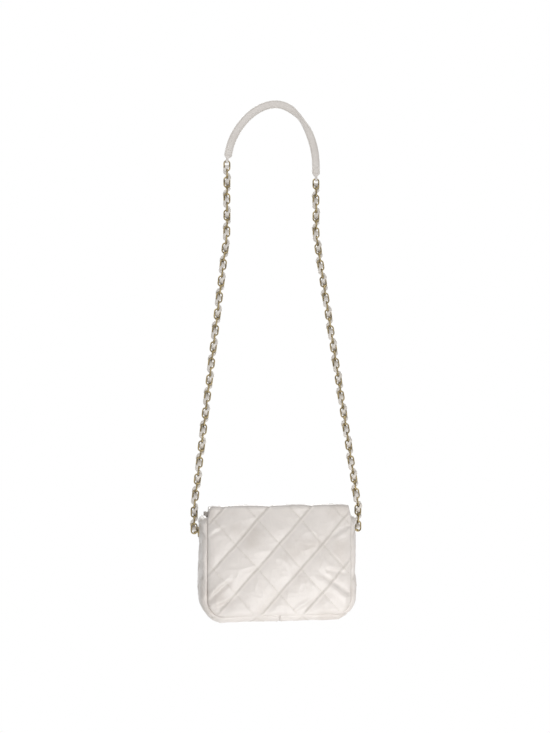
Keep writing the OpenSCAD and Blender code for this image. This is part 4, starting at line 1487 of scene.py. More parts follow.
@dataclass
class Gusset:
    """Padded leather gusset: two halves that meet at a seam across the base."""

    sizes: BagSizes
    wardrobe: Wardrobe
    step: float = 1.4 * MM
    puff: float = 1.8 * MM
    bulge: float = 3.0 * MM
    slack: float = 4.8 * MM
    corner_left: float = 1.8 * MM
    corner_right: float = 3.4 * MM
    bulge_rise: float = 45.0 * MM
    seam_sink: float = 1.5 * MM
    tuck: float = 0.2
    edge_roll_r: float = 1.6 * MM
    turned_in: float = 3.0 * MM
    hole_r: float = 5.0 * MM
    leather_low: float = 0.45 * MM
    seam_roll_w: float = 7.0 * MM

    def __post_init__(self) -> None:
        """Set out the path and the lattice."""
        self.path = GussetPath(self.sizes)
        self.lattice = QuiltLattice(node_u=1.7 * MM, node_v=0.0, seed=13)
        self.eyelet_t = self.path.marks[2] + self.sizes.eyelet_z - self.path.corner_z

    def section(self, w: Array) -> tuple[Array, Array, Array]:
        """Return the reach out from the seam, y and the tilt of the normal at distances w.

        Args:
            w: Distance across the gusset from its middle.
        """
        radius = self.sizes.puff
        over = np.clip(np.abs(w) - self.path.flat_y, 0, None) / radius
        reach = radius * np.cos(over)
        y = np.sign(w) * (np.minimum(np.abs(w), self.path.flat_y) + radius * np.sin(over))
        return reach, y, np.sign(w) * over

    def surface(self, t: Array, w: Array, height: Array) -> Array:
        """Return points at a height over the frame's surface, on the right-hand side.

        Args:
            t: Distance along the gusset.
            w: Distance across it.
            height: Height over the surface.
        """
        reach, y, tilt = self.section(w)
        x, z, _ = self.path.at(t, reach + height * np.cos(tilt))
        return np.stack([x, y + height * np.sin(tilt), z], -1)

    @property
    def half_girth(self) -> float:
        """Distance from the middle of the gusset to its seam, along its section."""
        return self.path.flat_y + self.sizes.puff * (np.pi / 2 + self.tuck)

    def edge_distance(self, w: Array | float) -> Array | float:
        """Return the distance in from the seams with the panels."""
        return self.path.flat_y + self.sizes.puff * np.pi / 2 - np.abs(w)

    def calm(self, t: Array, w: Array, far: float = 17.0 * MM) -> Array:
        """Return 0 at the eyelet, where the leather is held flat, and 1 at a distance from it."""
        return smooth(np.hypot(w, t - self.eyelet_t), 8 * MM, far)

    def below_hood(self, t: Array) -> Array:
        """Return 1 up to the gusset's rounded top and 0 on it."""
        top = self.path.marks[3]
        return 1 - smooth(t, top - 4 * MM, top + 3 * MM)

    def sag(self, t: Array, w: Array, right: Array | bool) -> Array:
        """Return how far the gusset and its layers sink in between the seams.

        Args:
            t: Distance along the gusset from the middle of the base.
            w: Distance across it from its middle.
            right: Whether the place is on the right-hand half.
        """
        m = self.path.marks
        rise = t - m[2] - self.bulge_rise + self.path.corner_z - self.sizes.base_z
        depth = (self.slack - self.bulge * bell(rise, 0.016)) * smooth(t, m[1], m[2])
        corner = np.where(right, self.corner_right, self.corner_left)
        depth = depth + corner * bell(t - m[1] - 10 * MM, 11 * MM)
        middle = 1 - (w / self.half_girth) ** 2
        roll = roll_off(self.edge_distance(w), self.seam_roll_w)
        return depth * middle * self.below_hood(t) * self.calm(t, w) * roll

    def relief(self, t: Array, w: Array, side: Side) -> tuple[Array, Array]:
        """Return the height of the leather over the frame's surface, and its painted shade.

        Args:
            t: Distance along the gusset.
            w: Distance across it.
            side: Which half.
        """
        m = self.path.marks
        seed = 81 + side.value
        tight = seam_pull(side.value * t)
        edge = self.edge_distance(w)
        roll = roll_off(edge, self.seam_roll_w)
        puff, groove = self.lattice.relief(t, w)
        on_base = 1 - smooth(t, m[1] - 6 * MM, m[1] + 8 * MM)
        calm, hood = self.calm(t, w), self.below_hood(t)
        crumple = folds(t, w, 0.017, seed) - 0.4 + 0.4 * (folds(t, w, 0.008, seed + 7) - 0.4)
        pleat = bell(w, 5 * MM) * smooth(t, m[1], m[2]) * hood
        height = self.puff * (puff - on_base) * hood - 0.9 * MM * pleat
        height = height + 1.1 * MM * crumple * (1 - 0.85 * on_base)
        height = height * calm * roll - self.seam_sink * tight * (1 - roll)
        height = height - self.sag(t, w, side is Side.RIGHT)
        centre = bell(t, 1.3 * MM)
        height = np.minimum(height, 0.1 * MM + height * (1 - on_base)) - 0.9 * MM * centre
        # On the base no channel goes deeper than the leather, since the board lies right behind it.
        deepest = self.sizes.leather - self.leather_low
        shallow = np.where(height < 0, -deepest * (1 - np.exp(np.minimum(height, 0) / deepest)), height)
        height = height + on_base * (shallow - height)
        # Painted shade along the seam, strongest at the bag's left side, in the sewn channels and along the middle
        # seam of the base.
        seam = 0.5 * tight * (1 - roll_off(edge, SEAM_SHADE_W))
        shade = np.maximum(0.8 * groove * roll * calm * hood, seam)
        return height, np.maximum(shade, 0.8 * centre)

    def half(self, side: Side) -> None:
        """Build one half of the gusset.

        Args:
            side: Which half.
        """
        sizes, m = self.sizes, self.path.marks
        rows = np.linspace(0.06 * MM, m[4], round(m[4] / self.step) + 1)
        columns = np.linspace(-self.half_girth, self.half_girth, 61)
        t, w = np.meshgrid(rows, columns, indexing="ij")
        height, shade = self.relief(t, w, side)
        outer = self.surface(t, w, height)
        below = np.minimum(-sizes.leather - self.sag(t, w, side is Side.RIGHT), height - 0.4 * MM)
        inner = self.surface(t, w, below)
        outer, inner, shade = self.turn_edge(outer, inner, shade)
        mirror = np.array([side.value, 1.0, 1.0])
        name = f"gusset_leather_{side.label}"
        half = closed_sheet(name, outer * mirror, inner * mirror, self.wardrobe.leather, shade)
        self.bore_eyelet(half, side)
        place_piece(half, Body.BAG, Slot.LEATHER, f"gusset_{side.label}")

    def turn_edge(self, outer: Array, inner: Array, shade: Array) -> tuple:
        """Turn the top edge of the gusset over and back under itself.

        Args:
            outer: Outer face up to the top edge.
            inner: Inner face.
            shade: Painted shade of the outer face.

        Returns:
            The two faces and the painted shade, with the turned edge added.
        """
        full = self.section(np.linspace(-self.half_girth, self.half_girth, outer.shape[1]))[0]
        radius = self.edge_roll_r * np.clip(full / self.sizes.puff, 0.05, 1)
        tops, lows = [outer], [inner]
        centre = outer[-1] - radius[:, None] * np.array([0.0, 0.0, 1.0])
        for angle in np.linspace(0.25, 1, 6) * np.pi:
            push = radius[:, None] * np.array([-np.sin(angle), 0.0, np.cos(angle)])
            tops.append((centre + push)[None])
            lows.append((centre + 0.3 * push)[None])
        under = np.array([self.turned_in, 0.0, 0.0])
        tops.append(tops[-1] + under)
        lows.append(lows[-1] + under)
        top, low = np.concatenate(tops), np.concatenate(lows)
        return top, low, np.concatenate([shade, np.zeros((len(top) - len(outer), shade.shape[1]))])

    def bore_eyelet(self, piece: Piece, side: Side) -> None:
        """Cut the hole that an eyelet is set in.

        Args:
            piece: Piece to cut.
            side: Which half.
        """
        axis = Vector((side.value, 0.0, 0.0))
        start = axis * (self.sizes.gusset_x - 12 * MM) + Vector((0, 0, self.sizes.eyelet_z))
        bore(piece, start, start + axis * 24 * MM, self.hole_r + 0.1 * MM)

    def layer(
        self, name: str, low: float, high: float, material: Material, base_low: float | None = None
    ) -> Piece:
        """Build a layer behind the leather, from one side over the base to the other.

        Args:
            name: Name of the layer.
            low: Depth of its outer face.
            high: Depth of its inner face.
            material: Its finish.
            base_low: Depth of its outer face on the base, where the board lies under it.

        Returns:
            The layer, with its two holes.
        """
        m = self.path.marks
        girth = self.path.flat_y + self.sizes.puff * (np.pi / 2 - 0.05)
        rows = np.linspace(-m[4] + 0.2 * MM, m[4] - 0.2 * MM, 151)
        t, w = np.meshgrid(rows, np.linspace(-girth, girth, 41), indexing="ij")
        calm = self.calm(np.abs(t), w, 15 * MM)
        wave = np.minimum(0.3 * MM * calm * ripple(t, w, 0.016, 95), 0) - self.sag(np.abs(t), w, t > 0)
        top = np.full_like(t, low)
        if base_low is not None:
            top = top + (base_low - low) * (1 - smooth(np.abs(t), m[1] - 3 * MM, m[1]))
        mirror = np.stack([np.where(t < 0, -1.0, 1.0), np.ones_like(t), np.ones_like(t)], -1)
        outer = self.surface(np.abs(t), w, -top - 0.05 * MM + wave) * mirror
        inner = self.surface(np.abs(t), w, -np.maximum(high, top + 0.4 * MM) + wave) * mirror
        layer = closed_sheet(name, outer, inner, material)
        for side in Side:
            self.bore_eyelet(layer, side)
        self.layer_area = sheet_area(outer)
        self.layer_size = cut_size(outer)
        return layer

    def build(self) -> None:
        """Build the two halves, the wadding and the lining."""
        for side in Side:
            self.half(side)
        wadding = self.layer("gusset_pad", self.sizes.leather, 3.1 * MM, self.wardrobe.wadding, 3.25 * MM)
        place_piece(wadding, Body.BAG, Slot.WADDING, "gusset_wadding")
        lining = self.layer("gusset_lining_cloth", 3.2 * MM, 4.0 * MM, self.wardrobe.lining, 3.75 * MM)
        place_piece(lining, Body.BAG, Slot.LINING, "gusset_lining")

    def sew(self) -> None:
        """Sew the gusset's quilting, its base seam and its top edges."""
        lines = []
        m = self.path.marks
        reach = self.edge_distance(0.0) - SEAM_SHADE_W
        across = np.arange(-reach, reach, SEWN_STEP)
        short = np.arange(-reach + 4 * MM, reach - 4 * MM, SEWN_STEP)
        for side in Side:
            for rising in (True, False):
                for number in range(-3, 8):
                    t = self.lattice.line(number, across, rising)
                    off_eyelet = np.hypot(across, t - self.eyelet_t) > 11 * MM
                    keep = (t > 2 * MM) & (t < m[3] - 6 * MM) & off_eyelet
                    lines.append(self.on_leather(t[keep], across[keep], side))
            for t in (m[4] - 3 * MM, 3.2 * MM):
                lines.append(self.on_leather(np.full_like(short, t), short, side))
        stitches = Thread(self.wardrobe.thread).rows("gusset_stitches", lines)
        place_piece(stitches, Body.BAG, Slot.LEATHER)

    def on_leather(self, t: Array, w: Array, side: Side) -> tuple[Array, Array]:
        """Return points just over the leather, and the way that it faces there.

        Args:
            t: Distance along the gusset.
            w: Distance across it.
            side: Which half.
        """
        mirror = np.array([side.value, 1.0, 1.0])
        height, _ = self.relief(t, w, side)
        points = self.surface(t, w, height + SEWN_LIFT)
        facing = self.surface(t, w, height + 1.1 * MM) - points
        return points * mirror, facing * mirror


@dataclass
class Linings:
    """Lining cloth of the two panels, the slip pocket and the bound mouth edge."""

    sizes: BagSizes
    wardrobe: Wardrobe
    seam_w: float = 6.0 * MM

    def flat_panel(self, name: str, node: str, seed: int) -> None:
        """Build the lining of a panel, with a few soft waves.

        Args:
            name: Name of the piece.
            node: The frame's node that it replaces.
            seed: Number of its pattern of waves.
        """
        lo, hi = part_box(node)
        radius = self.sizes.corner_r - self.seam_w
        rows = rounded_rows(lo.z, hi.z, 3 * MM, radius)
        z, share = np.meshgrid(rows, np.linspace(-1, 1, 72), indexing="ij")
        x = share * (hi.x - corner_loss(z - lo.z, radius))
        inside = inset(x, z, hi.x, lo.z, hi.z, radius)
        inward = 1.0 if hi.y < 0 else -1.0
        face = hi.y if hi.y < 0 else lo.y
        wave = 0.5 * MM * (0.5 + 0.5 * ripple(x, z, 0.022, seed)) * smooth(inside, 0.0, 12 * MM)
        pocket = 1 - smooth(inset(x, z, 62 * MM, -1, 1), -3 * MM, 3 * MM) if hi.y < 0 else 1.0
        near = np.stack([x, face + inward * wave * pocket, z], -1)
        far = near - np.array([0.0, inward * self.sizes.lining, 0.0])
        piece = closed_sheet(name, near, far, self.wardrobe.lining)
        place_piece(piece, Body.BAG, Slot.LINING, node)

    def pocket(self) -> None:
        """Build the slip pocket, which stands open a little at its top."""
        lo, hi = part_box("slip_pocket")
        half = hi.x
        x, z = np.meshgrid(np.linspace(-half, half, 63), np.linspace(lo.z, hi.z, 34))
        rise = (z - lo.z) / (hi.z - lo.z)
        side = roll_off(half - np.abs(x), 0.16 * half)
        bottom = roll_off(z - lo.z, 9 * MM)
        gape = (hi.y - lo.y - 1.3 * MM) * side * bottom * (0.35 + 0.65 * rise**1.5)
        wave = 0.3 * MM * ripple(x, z, 0.02, 97) * side * bottom
        y = lo.y + 0.25 * MM + gape + wave
        outer = np.stack([x, y + self.sizes.lining, z], -1)
        inner = np.stack([x, y, z], -1)
        piece = closed_sheet("slip_pocket_cloth", outer, inner, self.wardrobe.lining)
        place_piece(piece, Body.BAG, Slot.LINING, "slip_pocket")

    def pocket_stitches(self) -> None:
        """Sew the pocket's hem, its sides and its lower edge."""
        lo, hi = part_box("slip_pocket")
        edge, face = hi.x - 1.6 * MM, lo.y + 1.7 * MM
        z = np.linspace(lo.z + 2 * MM, hi.z - 2 * MM, 80)
        x = np.linspace(-edge, edge, 120)
        lines = [sewn_row(side * edge, face, z, THROUGH) for side in (-1, 1)]
        lines.append(sewn_row(x, face, lo.z + 1.6 * MM, THROUGH))
        stitches = Thread(self.wardrobe.thread).rows("pocket_stitches", lines)
        place_piece(stitches, Body.BAG, Slot.LINING)

    def binding(self) -> None:
        """Build the leather that is folded over the front panel's mouth edge."""
        lo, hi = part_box("mouth_binding")
        middle, half = (lo.y + hi.y) / 2, (hi.y - lo.y) / 2
        thick = 0.8 * MM
        turn = np.linspace(0, np.pi, 9)
        crown = half * 0.55
        leg = lo.z + np.array([0.0, 0.3, 0.6, 0.85]) * (hi.z - crown - lo.z)
        bow = np.stack([half * np.cos(turn), hi.z - crown + crown * np.sin(turn)], -1)
        legs = [np.stack([np.full(4, way * half), leg], -1) for way in (1, -1)]
        outside = np.concatenate([legs[0], bow, legs[1][::-1]])
        inside = np.copy(outside)
        inside[:, 0] *= (half - thick) / half
        inside[4:13, 1] -= thick * np.sin(turn)
        ring = np.concatenate([outside, inside[::-1]])
        x = np.linspace(lo.x, hi.x, 120)
        puff = 0.25 * MM * folds(x, 0 * x, 0.012, 66)
        rings = np.zeros((len(x), len(ring), 3))
        rings[:, :, 0] = x[:, None]
        rings[:, :, 1] = middle + ring[None, :, 0]
        rings[:, :, 2] = ring[None, :, 1] - 0.5 * puff[:, None] * (ring[None, :, 1] > hi.z - half)
        piece = sweep("mouth_binding_leather", rings, self.wardrobe.smooth_leather)
        place_piece(piece, Body.BAG, Slot.LEATHER, "mouth_binding")

    def binding_stitches(self) -> None:
        """Sew the binding's two legs."""
        lo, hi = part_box("mouth_binding")
        x = np.linspace(lo.x + 2 * MM, hi.x - 2 * MM, 200)
        rise = lo.z + 1.8 * MM
        lines = [sewn_row(x, face, rise, way * THROUGH) for face, way in ((hi.y, 1.0), (lo.y, -1.0))]
        stitches = Thread(self.wardrobe.thread).rows("binding_stitches", lines)
        place_piece(stitches, Body.BAG, Slot.LEATHER)

    def build(self) -> None:
        """Build every lining."""
        self.flat_panel("back_lining_cloth", "back_lining", 98)
        self.flat_panel("front_lining_cloth", "front_lining", 99)
        self.pocket()
        self.pocket_stitches()
        self.binding()
        self.binding_stitches()


# The strap


@dataclass(frozen=True)
class Strand:
    """Places of one strand's junctions, where each link hangs in the next."""

    side: Side
    foot_z: float
    low_x: float
    top_x: float
    low_z: float
    high_z: float
    count: int
    rise: float = 10.9 * MM

    @classmethod
    def from_frame(cls, side: Side, sizes: BagSizes) -> "Strand":
        """Read a strand's places from the frame.

        Args:
            side: Which strand.
            sizes: The bag's sizes.

        Returns:
            The strand.
        """
        lo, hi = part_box(f"chain_lower_{side.label}")
        link_half = hi.y
        low_x = (hi.x if side is Side.RIGHT else -lo.x) - link_half
        top_lo, top_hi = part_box(f"chain_top_{side.label}")
        return cls(
            side=side,
            foot_z=sizes.eyelet_z - 1.0 * MM,
            low_x=low_x,
            top_x=abs(top_lo.x + top_hi.x) / 2,
            low_z=sizes.base_z + 150 * MM,
            high_z=sizes.base_z + 511 * MM,
            count=43 if side is Side.RIGHT else 45,
        )

    def junction(self, k: Array) -> Array:
        """Return the places of junctions k, as rows of x, y and z.

        Args:
            k: Numbers of the junctions.
        """
        z = self.foot_z + np.asarray(k, float) * self.rise
        share = np.clip((z - self.low_z) / (self.high_z - self.low_z), 0, 1)
        x = self.side.value * (self.low_x + (self.top_x - self.low_x) * share)
        return np.stack([x, 0 * x, z], -1)


@dataclass
class Ribbon:
    """Leather ribbon that is woven through a strand's links."""

    strand: Strand
    wardrobe: Wardrobe
    stations: tuple[float, ...] = (0.0, 0.11, 0.16, 0.26, 0.5, 0.74, 0.84, 0.89, 1.0)
    along_offset: tuple[float, ...] = (3.15, 3.15, 2.0, 0.0, 0.0, 0.0, 2.0, 3.15, 3.15)
    through_offset: tuple[float, ...] = (3.15, 3.2, 3.2, 2.6, 0.0, -2.6, -3.2, -3.2, -3.15)
    along_half: tuple[float, ...] = (2.0, 2.0, 3.15, 2.75, 2.75, 2.75, 3.15, 2.0, 2.0)
    through_half: tuple[float, ...] = (2.0, 2.0, 2.0, 2.4, 4.0, 2.4, 2.0, 2.0, 2.0)
    around: int = 24
    per_link: int = 20
    first: float = 0.3
    split: float = 29.5
    top_gap: float = 0.45
    hinge_reach: float = 5.0 * MM

    @staticmethod
    def quadrant(k: Array) -> Array:
        """Return the corner between two crossed wires that the ribbon takes at junction k."""
        q = np.mod(k, 4)
        return np.stack([np.where(q >= 2, 1.0, -1.0), np.where((q == 1) | (q == 2), 1.0, -1.0)], -1)

    def piece(self, name: str, first: float, last: float) -> Piece:
        """Build the ribbon between two places, counted in links up from the eyelet.

        Args:
            name: Name of the piece.
            first: Where it starts.
            last: Where it ends.

        Returns:
            The piece of ribbon.
        """
        places = np.linspace(first, last, round((last - first) * self.per_link) + 1)
        k = np.floor(places + 1e-9)
        s = places - k
        low, high = self.strand.junction(k), self.strand.junction(k + 1)
        base = low + s[:, None] * (high - low)
        lean = np.arctan2(high[:, 0] - low[:, 0], high[:, 2] - low[:, 2])
        facing = np.mod(k, 2) == 0
        corner = self.quadrant(k)
        along, through, along_half, through_half = (
            np.interp(s, self.stations, values) * MM
            for values in (self.along_offset, self.through_offset, self.along_half, self.through_half)
        )
        soft = 1 + 0.04 * ripple(places, 0 * places, 0.6, 5)
        centre = soften(corner * np.where(facing, [along, through], [through, along]).T)
        half = np.where(facing, [along_half, through_half], [through_half, along_half])
        size = soften(half.T) * soft[:, None]
        turn = full_turn(self.around)
        u = centre[:, :1] + size[:, :1] * signed_power(np.cos(turn), 0.75)
        v = centre[:, 1:] + size[:, 1:] * signed_power(np.sin(turn), 0.75)
        lean = lean[:, None]
        rings = np.stack([base[:, :1] + u * np.cos(lean), v, base[:, 2:] - u * np.sin(lean)], -1)
        # Painted shade on the ribbon near each junction, where it runs between the crossed wires.
        shade = 0.15 * (1 - smooth(s, 0.1, 0.35) * (1 - smooth(s, 0.65, 0.9)))
        shade = shade[:, None] * np.ones(self.around)
        return sweep(name, rings, self.wardrobe.ribbon_leather, shade)

    def build(self) -> None:
        """Build the two pieces of ribbon."""
        side, last = self.strand.side.label, self.strand.count - self.top_gap
        low = self.piece(f"woven_ribbon_low_{side}", self.first, self.split)
        self.bend(low, Body.CHAIN_LOWER, Body.CHAIN_UPPER, "strap_bend")
        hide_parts(f"ribbon_lower_{side}", f"ribbon_upper_{side}")
        high = self.piece(f"woven_ribbon_high_{side}", self.split, last)
        self.bend(high, Body.CHAIN_UPPER, Body.SHOULDER, "strap_swing")
        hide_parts(f"ribbon_top_{side}")

    def bend(self, piece: Piece, below: Body, above: Body, joint: str) -> None:
        """Bake a piece's transform into its points, and log it.

        Args:
            piece: Piece of ribbon.
            below: Body below the hinge; not used.
            above: Body above it; not used.
            joint: Name of the hinge; not used.
        """
        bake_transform(piece)
        report(piece)


@dataclass
class ShoulderPiece:
    """Padded leather band over the shoulder, twisted once, with a stitched end on each strand."""

    strands: dict[Side, Strand]
    wardrobe: Wardrobe
    width: float = 10.4 * MM
    thickness: float = 4.8 * MM
    end_length: float = 16.0 * MM
    left_lean: float = math.radians(12.0)
    crest_handle: float = 0.5
    left_handle: float = 0.42
    right_handle: float = 0.56
    twist: float = math.radians(70.0)
    twist_at: float = 0.72
    twist_width: float = 0.11
    sewn_at: float = 0.74
    rings: int = 150
    around: int = 36

    def __post_init__(self) -> None:
        """Set out the curve from the top links to the crest."""
        self.crest = np.array([0.0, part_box("shoulder_band_back")[1].z - self.width / 2])
        self.lean = {Side.LEFT: self.left_lean, Side.RIGHT: 0.0}
        self.wire = {}
        for side, strand in self.strands.items():
            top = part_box(f"chain_top_{side.label}")[1].z - 1.0 * MM
            self.wire[side] = np.array([side.value * strand.top_x, top])
        self.left = self.curve(Side.LEFT, self.left_handle)
        self.right = self.curve(Side.RIGHT, self.right_handle)[::-1]

    def start(self, side: Side) -> Array:
        """Return where the band ends, over its stitched end, as x and z."""
        lean = self.lean[side]
        return self.wire[side] + self.end_length * np.array([math.sin(lean), math.cos(lean)])

    def end_axes(self, side: Side) -> tuple[Array, Array, Array]:
        """Return the top of a strand, and the ways up and across there.

        Args:
            side: Which strand.
        """
        (x, z), lean = self.wire[side], self.lean[side]
        up = np.array([math.sin(lean), 0.0, math.cos(lean)])
        across = np.array([math.cos(lean), 0.0, -math.sin(lean)])
        return np.array([x, 0.0, z]), up, across

    def curve(self, side: Side, handle: float) -> Array:
        """Return the four control points from the band's end to the crest.

        Args:
            side: Which end.
            handle: Length of its lower handle, as a share of the rise.
        """
        start, lean = self.start(side), self.lean[side]
        rise = self.crest[1] - start[1]
        up = np.array([math.sin(lean), math.cos(lean)])
        level = np.array([-side.value * self.crest_handle * abs(start[0]), 0.0])
        return np.array([start, start + handle * rise * up, self.crest - level, self.crest])

    def point(self, t: Array) -> tuple[Array, Array]:
        """Return places and unit directions at shares t from the left end to the right end.

        Args:
            t: Shares of the band's length.
        """
        u = np.where(t < 0.5, 2 * t, 2 * t - 1)[:, None]
        p = np.where((t < 0.5)[:, None, None], self.left[None], self.right[None])
        place = (1 - u) ** 3 * p[:, 0] + 3 * u * (1 - u) ** 2 * p[:, 1]
        place = place + 3 * u * u * (1 - u) * p[:, 2] + u**3 * p[:, 3]
        slope = (1 - u) ** 2 * (p[:, 1] - p[:, 0]) + 2 * u * (1 - u) * (p[:, 2] - p[:, 1])
        slope = slope + u * u * (p[:, 3] - p[:, 2])
        return place, slope / np.linalg.norm(slope, axis=1, keepdims=True)

    def axes(self, t: Array) -> tuple[Array, Array, Array]:
        """Return the band's middle, and its directions across and through, at shares t.

        Args:
            t: Shares of the band's length.
        """
        place, slope = self.point(t)
        turn = (self.twist * bell(t - self.twist_at, self.twist_width))[:, None]
        side = np.stack([slope[:, 1], 0 * t, -slope[:, 0]], -1)
        across = side * np.cos(turn) + THROUGH * np.sin(turn)
        through = THROUGH * np.cos(turn) - side * np.sin(turn)
        return np.stack([place[:, 0], 0 * t, place[:, 1]], -1), across, through

    def thick(self, a: Array, t: Array) -> Array:
        """Return half the band's thickness at shares a across it.

        Args:
            a: Shares of the half width.
            t: Shares of the band's length.
        """
        full = (1 - np.abs(a) ** 3.2) ** 0.5
        groove = bell(np.abs(a) - self.sewn_at, 0.07)
        length = 0.25 * t / MM
        soft = 0.06 * folds(length, a * 0.004 / MM, 2.2, 15) + 0.05 * ripple(length, a, 3.0, 16)
        return self.thickness / 2 * (full * (0.97 + soft * (1 - groove)) - 0.24 * groove)

    def band(self) -> None:
        """Build the padded band."""
        t = np.linspace(0.0, 1.0, self.rings)
        middle, across, through = self.axes(t)
        turn = full_turn(self.around, 0.5)
        a = signed_power(np.cos(turn), 0.8)
        half = self.thick(np.clip(a, -0.999, 0.999)[None, :], t[:, None]) * np.sign(np.sin(turn))
        rings = middle[:, None] + self.width / 2 * a[None, :, None] * across[:, None]
        rings = rings + half[:, :, None] * through[:, None]
        # Painted shade along the band's two sewn lines.
        groove = np.tile(0.25 * bell(np.abs(a) - self.sewn_at, 0.08), (self.rings, 1))
        band = sweep("shoulder_band", rings, self.wardrobe.smooth_leather, groove)
        place_piece(band, Body.SHOULDER, Slot.LEATHER, "shoulder_band_front", "shoulder_band_back")

    def sleeve(self, side: Side) -> Piece:
        """Build the sleeve on one end of the band.

        Args:
            side: Which end.

        Returns:
            The sleeve.
        """
        foot, up, across = self.end_axes(side)
        rise = np.array([1.5, 2.9, 4.2, 5.6, 7.0, 9.0, 11.5, 14.0, 15.4, 16.0, 16.6]) * MM
        wide = np.array([1.6, 1.9, 3.0, 4.4, 5.2, 5.3, 5.3, 5.25, 5.3, 5.3, 4.9]) * MM
        thick = np.array([1.9, 2.05, 2.25, 2.4, 2.5, 2.5, 2.45, 2.45, 2.55, 2.5, 2.2]) * MM
        turn = full_turn(28)
        u = (wide[:, None] * signed_power(np.cos(turn), 0.45))[:, :, None]
        v = (thick[:, None] * signed_power(np.sin(turn), 0.6))[:, :, None]
        rings = foot + rise[:, None, None] * up + u * across + v * THROUGH
        return sweep(f"sleeve_{side.label}", rings, self.wardrobe.smooth_leather)

    def tongue(self, side: Side) -> Piece:
        """Build the tongue of leather that runs from a sleeve round the top link.

        Args:
            side: Which end.

        Returns:
            The tongue.
        """
        foot, up, across = self.end_axes(side)
        radius, half_w, half_t = 2.15 * MM, 1.6 * MM, 0.4 * MM
        edge = [[-1, -1], [-0.8, -1.15], [0.8, -1.15], [1, -1]]
        corners = np.array(edge + [[-u, -v] for u, v in edge])
        angle = full_turn(40)
        out = np.cos(angle)[:, None] * THROUGH + np.sin(angle)[:, None] * up
        loop = foot - 0.6 * MM * up + (radius + half_t * corners[None, :, 1, None]) * out[:, None]
        loop = loop + half_w * corners[None, :, 0, None] * across
        count = len(angle) * len(corners)
        faces = grid_faces(len(angle) + 1, len(corners), closed=True)
        faces = [[number % count for number in face] for face in faces]
        piece = new_piece(f"tongue_{side.label}", loop, faces, self.wardrobe.smooth_leather)
        set_channel(piece, np.zeros(count))
        tidy_mesh(piece)
        return piece

    def stitches(self) -> None:
        """Sew the band's two edges and its two ends, on both faces."""
        lines = []
        t = np.linspace(0.015, 0.985, 400)
        middle, across, through = self.axes(t)
        for edge in (-self.sewn_at, self.sewn_at):
            half = self.thick(np.full(1, edge)[None, :], t[:, None])[:, 0]
            for face in (-1, 1):
                lift = face * (half + 0.05 * MM)[:, None]
                lines.append((middle + self.width / 2 * edge * across + lift * through, face * through))
        rows = np.linspace(6.8 * MM, 14.6 * MM, 40)[:, None]
        run = np.linspace(-3.2 * MM, 3.2 * MM, 40)[:, None]
        for side in Side:
            foot, up, across = self.end_axes(side)
            for face in (-1, 1):
                place, facing = foot + face * 2.5 * MM * THROUGH, np.tile(face * THROUGH, (40, 1))
                for u in (-3.6 * MM, 3.6 * MM):
                    lines.append((place + u * across + rows * up, facing))
                for rise in (7.0 * MM, 14.4 * MM):
                    lines.append((place + rise * up + run * across, facing))
        stitches = Thread(self.wardrobe.thread, radius=0.27 * MM).rows("band_stitches", lines)
        place_piece(stitches, Body.SHOULDER, Slot.LEATHER)

    def build(self) -> None:
        """Build the band, its ends and its stitches."""
        self.band()
        for side in Side:
            end = join_pieces(f"strap_end_{side.label}", self.sleeve(side), self.tongue(side))
            place_piece(end, Body.SHOULDER, Slot.LEATHER, f"band_end_{side.label}")
        self.stitches()


# The studio


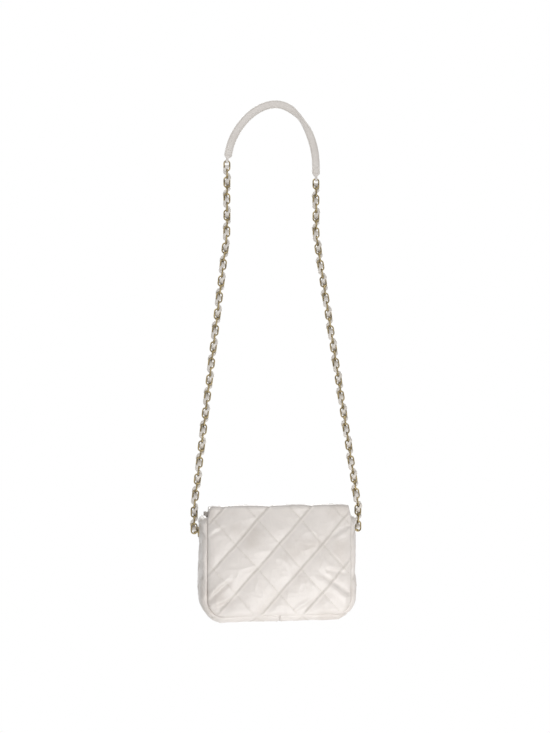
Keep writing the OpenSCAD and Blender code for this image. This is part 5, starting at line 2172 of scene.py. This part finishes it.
@dataclass
class Studio:
    """Floor, lights and the camera."""

    camera_turn: float = math.radians(-8.0)
    camera_distance: float = 1.9
    view_centre: Vector = Vector((-2.2 * MM, 0.0, -0.3435))
    view_height: float = 0.975
    floor_drop: float = 0.32

    def build(self, base_z: float) -> None:
        """Build the studio.

        Args:
            base_z: Height of the bag's base.
        """
        self.build_camera()
        self.build_floor(base_z - self.floor_drop)
        self.build_lights()

    def build_camera(self) -> None:
        """Place the camera level with the middle of the view."""
        data = bpy.data.cameras.new("camera")
        camera = bpy.data.objects.new("camera", data)
        bpy.context.scene.collection.objects.link(camera)
        back = Vector((math.sin(self.camera_turn), -math.cos(self.camera_turn), 0.0))
        camera.location = self.view_centre + back * self.camera_distance
        camera.rotation_euler = (-back).to_track_quat("-Z", "Y").to_euler()
        data.sensor_width = 36.0
        data.lens = data.sensor_width * self.camera_distance / self.view_height
        data.clip_end = 30.0
        bpy.context.scene.camera = camera

    def build_floor(self, z: float) -> None:
        """Lay a plain floor that looks white.

        Args:
            z: Its height.
        """
        deselect_all()
        bpy.ops.mesh.primitive_circle_add(vertices=96, radius=6.0, fill_type="NGON", location=(0, 0, z))
        floor = bpy.context.object
        floor.name = "floor"
        sketch = NodeSketch("white_floor")
        matt = sketch.add("BsdfPrincipled", Base_Color=(0.93, 0.93, 0.93, 1.0), Roughness=0.7)
        glow = sketch.add("Emission", Color=WHITE, Strength=1.0)
        sketch.show_camera(matt.outputs["BSDF"], glow.outputs["Emission"])
        floor.data.materials.append(sketch.holder)

    def build_lights(self) -> None:
        """Light the bag softly, a little more from the lower right."""
        sketch = NodeSketch("studio", world=True)
        height = sketch.add("SeparateXYZ", Vector=sketch.place).outputs["Z"]
        spread = {"From_Min": -0.2, "From_Max": 1.0, "To_Min": 0.56, "To_Max": 0.355}
        level = sketch.add("MapRange", Value=height, **spread).outputs["Result"]
        soft = sketch.add("Background", Color=(0.97, 0.985, 1.0, 1.0), Strength=level)
        white = sketch.add("Background", Color=WHITE, Strength=1.0)
        sketch.show_camera(soft.outputs["Background"], white.outputs["Background"])
        bpy.context.scene.world = sketch.holder
        self.add_lamp("key", Vector((0.12, -0.42, -0.9)), 0.4, 1.62)
        self.add_lamp("fill", Vector((-0.15, -0.8, 0.42)), 0.8, 2.5)
        self.add_lamp("back", Vector((0.3, 1.6, 0.3)), 1.4, 13.0)

    def add_lamp(self, name: str, place: Vector, size: float, power: float) -> None:
        """Hang one soft lamp that faces the bag.

        Args:
            name: Name of the lamp.
            place: Where it hangs.
            size: Length of its square side.
            power: Its power in watts.
        """
        data = bpy.data.lights.new(name, "AREA")
        data.shape = "SQUARE"
        data.size = size
        data.energy = power
        lamp = bpy.data.objects.new(name, data)
        lamp.location = place
        lamp.visible_camera = False
        aim = Vector((0.0, 0.0, -0.6)) - place
        lamp.rotation_euler = aim.to_track_quat("-Z", "Y").to_euler()
        bpy.context.scene.collection.objects.link(lamp)


def main() -> None:
    """Build the studio and every piece of the bag."""
    logging.basicConfig(level=logging.INFO, format="%(name)s %(message)s")
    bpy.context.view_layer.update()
    sizes = BagSizes.from_frame()
    bpy.context.scene.view_settings.view_transform = "Standard"
    Studio().build(sizes.base_z)
    wardrobe = Wardrobe()
    wardrobe.dress_frame()
    skin = QuiltedSkin(sizes, wardrobe)
    skin.build()
    skin.sew()
    FlapUnderside(skin).build()
    front = QuiltedFront(sizes, wardrobe)
    front.build()
    front.sew()
    gusset = Gusset(sizes, wardrobe)
    gusset.build()
    gusset.sew()
    Linings(sizes, wardrobe).build()
    strands = {side: Strand.from_frame(side, sizes) for side in Side}
    for strand in strands.values():
        Ribbon(strand, wardrobe).build()
    ShoulderPiece(strands, wardrobe).build()


if __name__ == "__main__":
    main()
